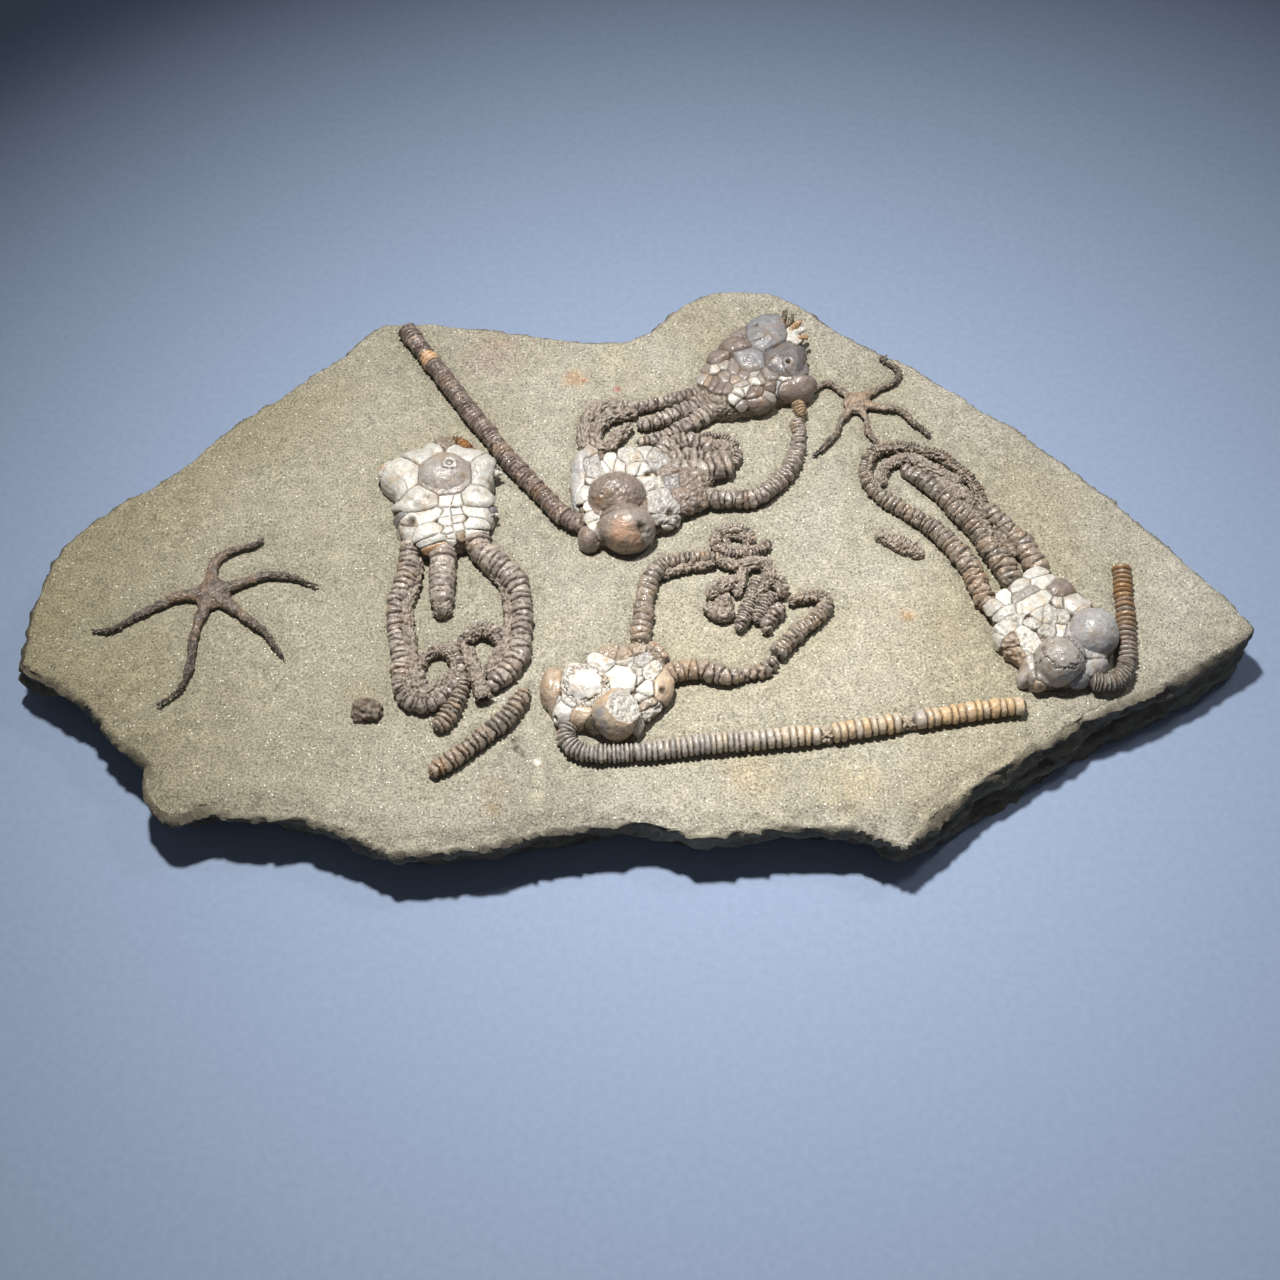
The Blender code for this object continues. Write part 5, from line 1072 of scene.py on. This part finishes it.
def make_strands():
    """Every stem and arm, each in the finish of its crinoid."""
    brown = fossil_calcite("arm_calcite", ("#60554D", "#8A7F76", "#A79B90", "#BBAD9B"),
                           "#2E251D", 0.27)
    stained = fossil_calcite("stained_arm_calcite",
                             ("#62574F", "#8A8075", "#9C8A78", "#A08062"), "#2E251D", 0.28)
    # these arms lie in the more rusty part of the bed
    warm = ("crinoid_e_arm_1", "crinoid_e_arm_2", "crinoid_e_arm_3", "loose_arm",
            "crinoid_a_arm_5", "crinoid_d_arm_1", "crinoid_d_arm_2")
    for node, parts in STRANDS.items():
        tone = TONES.get(node, lambda p: 0.45)
        seed = sum(map(ord, node))
        pieces = [strand(kind, pitches, route, tone, seed + i, **options)
                  for i, (kind, pitches, options, route) in enumerate(parts)]
        piece = join(pieces, node + "_plates")
        if node in STEM_FINISH:
            material = fossil_calcite(node + "_calcite", STEM_FINISH[node], "#33291F", 0.3)
        else:
            material = stained if node in warm else brown
        finish_piece(piece, material, 80)
        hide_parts(node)


# Cups made up -----------------------------------------------------------------------

# A plate's own colour; a small letter is the same colour on a broken, crystalline face
PLATE_SHADES = {
    "P": "#C2BEB5", "W": "#D0CDC5", "G": "#848384", "T": "#9C8B79", "N": "#7F726A",
    "B": "#A09890", "L": "#A8A5A1", "O": "#AC8A68", "M": "#887E77", "K": "#625848",
    "D": "#6E6A69", "H": "#9E9B99", "F": "#8F847B", "S": "#9A9088", "C": "#AF9C86",
    "R": "#BE9375",
}
# Marks: x, y, ring radius, ring width, height (below 0 for a pit), colour and strength
CUP_MARKS = {
    "crinoid_a_cup": [(-66.7, 25.4, 1.7, 0.5, 0.8, "W", 0.7), (-66.7, 25.4, 0, 0.5, 0.5, "P", 0.6),
        (-72, 21.5, 0, 3.6, 0, "L", 0.5), (-79, 11.8, 0, 0.9, 1, "T", 0.3),
        (-73.6, 12.6, 0, 0.9, 1, "T", 0.3), (-76.8, 9.6, 0, 0.8, 0.9, "T", 0.3),
        (-78.7, 2.8, 0, 1.4, -1.2, "K", 0.8), (-56.9, 15.2, 0, 1, 0.5, "T", 0.5),
        (-91.7, 28.6, 0, 1.6, 0.3, "O", 0.8)],
    "crinoid_b_cup": [(54.2, 74.4, 0, 0.75, -2.4, "K", 1), (54.2, 74.4, 1.5, 0.5, 0.4, "L", 0.6),
        (43.1, 92.6, 0, 0.6, -0.9, "K", 0.8), (40.1, 76.2, 1.7, 0.35, 0.25, "G", 0),
        (47.6, 64.7, 0, 1, 0.7, "M", 0), (42, 62.6, 0, 1.1, 0.8, "M", 0)],
    "crinoid_c_cup": [(-6.6, -2.2, 0, 3, -0.5, "R", 0.6), (-1.6, -4.2, 0, 2, -0.4, "R", 0.5),
        (0.5, -1.5, 0, 1.4, -1.6, "K", 0.9), (2.2, -2.4, 0, 1.4, -0.3, "L", 0.7),
        (-11.4, 12, 0, 2.4, -0.5, "K", 0.5), (2.6, 25, 0, 1, -1.4, "K", 0.9),
        (10.5, 8.6, 0, 1.2, -1.4, "K", 0.9)],
    "crinoid_d_cup": [(-17.7, -63, 6.9, 0.4, 0.45, "T", 0.5), (-17.7, -63, 5.7, 0.35, -0.4, "T", 0.6),
        (-17.7, -64, 0, 3, 0, "P", 0.5), (-12.8, -75.2, 0, 1.6, -0.2, "G", 0.8),
        (-11.6, -78.4, 0, 1.3, -0.2, "G", 0.7), (-27.5, -73.3, 0, 0.8, -1.6, "K", 0.9),
        (7.4, -64.1, 0, 1, -1.2, "K", 0.9), (-11.4, -53.9, 0, 0.9, 0.2, "O", 0.7)],
    "crinoid_e_cup": [(137.6, -52.1, 6, 0.35, -0.45, "K", 0.35), (131.4, -51, 0, 1.1, -0.7, "K", 0.6),
        (134.5, -49.6, 0, 0.9, -0.6, "T", 0.5), (140, -55, 0, 3, 0.1, "L", 0.4),
        (152, -38, 0, 3.4, 0, "L", 0.5), (124.8, -37.2, 0, 0.9, -0.5, "K", 0.7)],
}
# Short fingers and spines round a cup: shade, height, route (x, y, width)
CUP_SPINES = {
    "crinoid_b_cup": [
        ("K", 7.4, [(52.4, 93.5, 1.9), (53.9, 97.6, 1.8), (54.4, 101.6, 1.2)]),
        ("K", 7.2, [(54.1, 92.8, 1.9), (56.2, 96.2, 1.8), (57.4, 99.8, 1.2)]),
        ("O", 6.8, [(55.6, 91.6, 1.9), (58, 94.4, 1.9), (60.2, 97.2, 1.2)]),
        ("P", 6.4, [(56.8, 90, 1.9), (59.4, 91.9, 1.9), (61.8, 93.8, 1.3)]),
        ("O", 5.8, [(57.8, 88, 1.9), (60.2, 89.2, 1.9), (62.6, 90.2, 1.3)])],
    "crinoid_a_cup": [
        ("P", 3.4, [(-53.5, 27.5, 3.4), (-50.8, 27.2, 2.2), (-48.4, 27.4, 1.0)]),
        ("P", 3.2, [(-53.4, 9.6, 3), (-51, 9.2, 2), (-49.2, 8.8, 1.0)])],
}
# Broken faces: point on the face, the way it looks, reach, shade
CUP_BREAKS = {
    "crinoid_d_cup": [((-4.9, -73.1, 10.6), (0.45, -0.1, 1), 7, "P")],
}


def cup_body(name):
    """The cup before its plates: its outline raised with rounded shoulders, and domes."""
    top, domes = CUP_DOMES[name]
    outline = CUP_OUTLINES[name]
    deselect()
    bpy.ops.mesh.primitive_circle_add(vertices=len(outline), radius=1, fill_type="NGON")
    body = bpy.context.object
    put_coordinates(body.data, in_world([(x, y, -SUNK - 1) for x, y in outline[::-1]]))
    bpy.ops.object.mode_set(mode="EDIT")
    bpy.ops.mesh.select_all(action="SELECT")
    bpy.ops.mesh.extrude_region_move(
        TRANSFORM_OT_translate={"value": (0, 0, (SUNK + 1 + top * 0.4) * MM)})
    for inset, rise in ((0.7, 0.24), (1.1, 0.16), (1.7, 0.12), (2.4, 0.08)):
        bpy.ops.mesh.inset(thickness=inset * MM, depth=0)
        bpy.ops.transform.translate(value=(0, 0, top * rise * MM))
    bpy.ops.object.mode_set(mode="OBJECT")
    parts = [body]
    for x, y, height, rx, ry, rz, turn in domes:
        dome = add_ball(4)
        ball = coordinates(dome.data) * (rx, ry, rz)
        cos, sin = math.cos(math.radians(turn)), math.sin(math.radians(turn))
        ball[:, :2] = ball[:, :2] @ np.array([[cos, sin], [-sin, cos]])
        put_coordinates(dome.data, in_world(ball + (x, y, height)))
        parts.append(dome)
    body = join(parts, name + "_plates")
    face_outwards(body)
    fuse(body, CUP_GRID, rounds=8)
    return body


def plate_colour(letter):
    return np.array(linear(PLATE_SHADES[letter.upper()])[:3])


def plate_distance(points, plate, out):
    """0 at the middle of a plate and 1 at its rim, measured over the cup's surface."""
    x, y, height, a, b, _, turn, _ = plate
    angle = math.radians(turn)
    across = np.array([math.cos(angle), math.sin(angle), 0])
    across -= out * (across @ out)
    across /= np.linalg.norm(across)
    over = points - (x, y, height)
    return np.sqrt((over @ across / a) ** 2 + (over @ np.cross(out, across) / b) ** 2
                   + (over @ out / max(4, 1.3 * a, 1.3 * b)) ** 2)


def plates_on(name, points):
    """The cup's plates, each with the height of the body under its middle."""
    plates = []
    for x, y, a, b, shade, *own in PLATES[name]:
        close = np.hypot(points[:, 0] - x, points[:, 1] - y) < 0.4
        usual = (0, 0.2 if max(a, b) < 2.6 else 0.3 if max(a, b) < 5 else 0.4)
        turn, bulge = (*own, *usual[len(own):])
        plates.append((x, y, points[close, 2].max(initial=0), a, b, bulge, turn, shade))
    return plates


def plate_distances(points, normals, plates):
    """One row of distances for each plate, faced the way the body looks there."""
    tree = search_tree(points)
    rows = []
    for plate in plates:
        around_it = [i for _, i, _ in tree.find_range(plate[:3], 1.5)]
        out = normals[around_it or [tree.find(plate[:3])[1]]].sum(0)
        rows.append(plate_distance(points, plate, out / np.linalg.norm(out)))
    return np.array(rows) * (1 + 0.06 * lumps(points, 2.0, 3, 5))


def break_off(points, centre, across, radius):
    """Takes off, roughly, what stands over a broken face, and says which points moved."""
    across = np.array(across, dtype=float) / np.linalg.norm(across)
    over = (points - centre) @ across
    cut = (np.linalg.norm(points - centre, axis=1) < radius) & (over > 0)
    rough = 0.45 * lumps(points, 2.0, 4, 4) + 0.3 * (cells(points, 1.1, 4) - 0.4)
    return np.where(cut[:, None], points - across * (over + rough)[:, None], points), cut


def cut_below(obj, height):
    """Takes off what lies lower than height mm over the bedding face."""
    select_only(obj)
    bpy.ops.object.mode_set(mode="EDIT")
    bpy.ops.mesh.select_all(action="SELECT")
    bpy.ops.mesh.bisect(plane_co=(0, 0, (FACE + height) * MM), plane_no=(0, 0, 1),
                        use_fill=True, clear_inner=True)
    bpy.ops.object.mode_set(mode="OBJECT")


def make_cup(name):
    """The cup's body tiled with plates, with its pits, rims and broken faces."""
    cup = cup_body(name)
    points = coordinates(cup.data) / MM - (0, 0, FACE)
    normals = normals_of(cup.data)
    plates = plates_on(name, points)
    apart = plate_distances(points, normals, plates)
    middle = np.array([p[:3] for p in plates])
    size = np.array([math.sqrt(p[3] * p[4]) for p in plates])
    # straight seams: each point goes to the plate whose rim circle it is deepest inside
    score = (apart ** 2 - 1) * size[:, None] ** 2
    order = np.argsort(score, axis=0)[:2]
    one, two = order
    lead = np.diff(np.take_along_axis(score, order, 0), axis=0)[0]
    gap = lead / (2 * np.linalg.norm(middle[one] - middle[two], axis=1))
    first = np.take_along_axis(apart, order[:1], 0)[0]
    # bare stone is left where no plate reaches
    bare = np.clip((first - 1.45) / 0.15, 0, 1)
    suture = bell(gap, SEAM) * (1 - bare)
    # each plate stands a little higher or lower, tilted, and is rounded at its seams
    dice = np.random.default_rng(len(plates))
    step = dice.normal(0, 0.13, len(plates))[one]
    tilt = dice.normal(0, 0.035, (len(plates), 3))[one]
    puff = np.array([p[5] for p in plates])[one]
    reach = np.array([0.85 * min(p[3], p[4]) for p in plates])[one]
    rise = puff * (1 - (1 - np.clip(gap / reach, 0, 1)) ** 2.2) + step
    rise += ((points - middle[one]) * tilt).sum(1)
    rise = rise * (1 - bare) - 0.3 * suture - 0.8 * bare
    rise += 0.26 * lumps(points, 4.5, 3, 2) + 0.09 * lumps(points, 1.2, 3, 3)
    rise -= bare * 0.8 * (cells(points, 1.2, 1) - 0.3)
    # faces broken through the crystal are rough inside their seams
    raw = np.array([p[7].islower() for p in plates])[one] * np.clip(gap / 0.5, 0, 1)
    raw *= np.clip(4 / size[one], 0.45, 1)
    rise += raw * (0.85 * lumps(points, 2.0, 5, 4) - 0.12 * (cells(points, 1.5, 2) - 0.4))

    # every plate in its own shade, rust stained in patches
    spread = dice.normal(0, 0.07, len(plates))
    shades = np.array([plate_colour(p[7]) * (1 + k) for p, k in zip(plates, spread)])
    colour = shades[one]
    stain = np.clip(lumps(points, 3.2, 3, 6) * 1.6 - 0.4, 0, 0.45)[:, None]
    colour = colour * (1 - stain) + colour * (0.86, 0.66, 0.42) * stain
    colour = colour * (1 - bare[:, None]) + plate_colour("K") * bare[:, None]
    pit_shade = np.zeros(len(points))
    ragged = 1 + 0.3 * lumps(points, 1.6, 3, 7)
    for x, y, ring, width, height, shade, strength in CUP_MARKS[name]:
        off = np.hypot(points[:, 0] - x, points[:, 1] - y) * ragged
        spot = bell(off - ring, width) * (points[:, 2] > 2.5)
        rise += height * spot
        tint = strength * np.clip(1.6 * spot, 0, 1)[:, None]
        colour = colour * (1 - tint) + plate_colour(shade) * tint
        # pits deeper than 0.8 mm also get painted shade
        if height < -0.8:
            pit_shade = np.maximum(pit_shade, np.clip(spot * 1.2, 0, 1))
    points = points + normals * rise[:, None]
    broken = np.zeros(len(points))
    for *face, shade in CUP_BREAKS.get(name, []):
        points, cut = break_off(points, *face)
        colour[cut] = plate_colour(shade)
        broken[cut] = 0.15
    put_coordinates(cup.data, in_world(points))
    # shade painted into hollows and pits, and along the seams over their darker joints
    cavity_shade = np.clip(hollows(cup.data, 3, 0.12) - 0.2, 0, 1) * (1 - 0.55 * raw)
    recess_shade = np.maximum(np.maximum(cavity_shade, pit_shade), suture * 0.26)
    store(cup.data, "plate", colour)
    keep_wear_and_shade(cup, 0.5, recess_shade, np.maximum(bare * 0.8, broken + raw * 0.25))

    cut_below(cup, -SUNK)
    for number, (shade, height, route) in enumerate(CUP_SPINES.get(name, [])):
        spine = strand("worn", (1.5,), route, lambda p: 0.5, number, end=0.6,
                       lower=-height)
        store(spine.data, "plate", plate_colour(shade))
        cup = join([cup, spine], cup.name)
    finish_piece(cup, CUP_FINISH, 70)
    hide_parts(name)


# Brittle stars and crust --------------------------------------------------------------

def make_stars():
    """Arms melted into a flat disc, grainy on the disc and broken towards the tips."""
    for name, (disc, arms) in STARS.items():
        first = name == "brittle_star_1"
        thin = 1.0 if first else 0.82
        x, y, radius = disc
        pieces = []
        for i, ((root_x, root_y, root_width), *rest) in enumerate(arms):
            # each arm starts wide under the disc
            route = [(x + (root_x - x) * 0.4, y + (root_y - y) * 0.4,
                      thin * root_width * 1.5)] + [(a, b, thin * w) for a, b, w in rest]
            pieces.append(strand("skin", (1.2,), route, lambda p: 0, i + 20, squash=0.72,
                                 lift=0.12))
        middle = add_ball(4)
        wide = radius * 1.12
        put_coordinates(middle.data, in_world(coordinates(middle.data) * (wide, wide, 2.3)
                                              + (x, y, 0.2)))
        star = join(pieces + [middle], name + "_skeleton")
        fuse(star, STAR_GRID, rounds=9)
        points = coordinates(star.data) / MM - (0, 0, FACE)
        away = np.hypot(points[:, 0] - x, points[:, 1] - y)
        tips = ramp(away, 14, 34) if first else ramp(away, 9, 32)
        grain = cells(points, 1.0, 2) - 0.35
        rise = (0.9 * tips + (0.5 if first else 0.6)) * -grain
        rise += 0.3 * lumps(points, 2.5, 3, 3)
        tone = 0.5 + 0.35 * lumps(points, 9, 3, 4) + 0.4 * lumps(points, 2, 3, 9)
        tone += (0.05 if first else 0.32) * bell(away, 7) - 0.35 * tips
        # shade painted into the pits between the grains, heavier towards the tips
        dark_grain_and_pit_shade = np.clip((0.9 + 2.2 * tips) * (grain + 0.1), 0, 0.85)
        points = points + normals_of(star.data) * rise[:, None]
        put_coordinates(star.data, in_world(points))
        keep_wear_and_shade(star, np.clip(tone, 0, 1), dark_grain_and_pit_shade, 0.5)
        shades = (("#352A23", "#5F5046", "#906A46") if first
                  else ("#4A4038", "#857768", "#B89470"))
        finish_piece(star, fossil_calcite(name + "_calcite", shades, "#2E251E", 0.3),
                     80)
        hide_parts(name)


def make_crust():
    """Small dark lump of cemented grit."""
    x, y, height, rx, ry, rz = CRUST
    lump = add_ball(5)
    lump.name = "crusted_grit"
    ball = coordinates(lump.data)
    points = np.array([x, y, height]) + ball * (rx, ry, rz)
    knob = 0.45 - cells(points, 1.7, 2)
    points += ball * (knob * 1.5 + 0.9 * lumps(points, 4, 2, 3))[:, None]
    put_coordinates(lump.data, in_world(points))
    # shade painted between the knobs
    keep_wear_and_shade(lump, 0.4, np.clip(-knob * 1.5, 0, 0.9), 0.5)
    finish_piece(lump, fossil_calcite("cemented_grit", ("#4C4035", "#66584A", "#8A7862"),
                                      "#2A221A", 0.6), 60)
    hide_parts("crusted_lump")


def make_floor():
    deselect()
    bpy.ops.mesh.primitive_plane_add(size=6)
    floor = bpy.context.object
    floor.name = "studio_floor"
    floor.data.materials.append(paper_floor())


place_camera()
place_lights()
make_floor()
make_slab()
make_strands()
CUP_FINISH = fossil_calcite("cup_calcite", ("#FFFFFF", "#000000"), "#54473A", 0.32,
                            own_colour=True)
for cup_name, cup_slot in (
        ("crinoid_a_cup", "pale_calcite"), ("crinoid_b_cup", "grey_calcite"),
        ("crinoid_c_cup", "brown_calcite"), ("crinoid_d_cup", "pale_calcite"),
        ("crinoid_e_cup", "grey_calcite")):
    make_cup(cup_name)
make_stars()
make_crust()
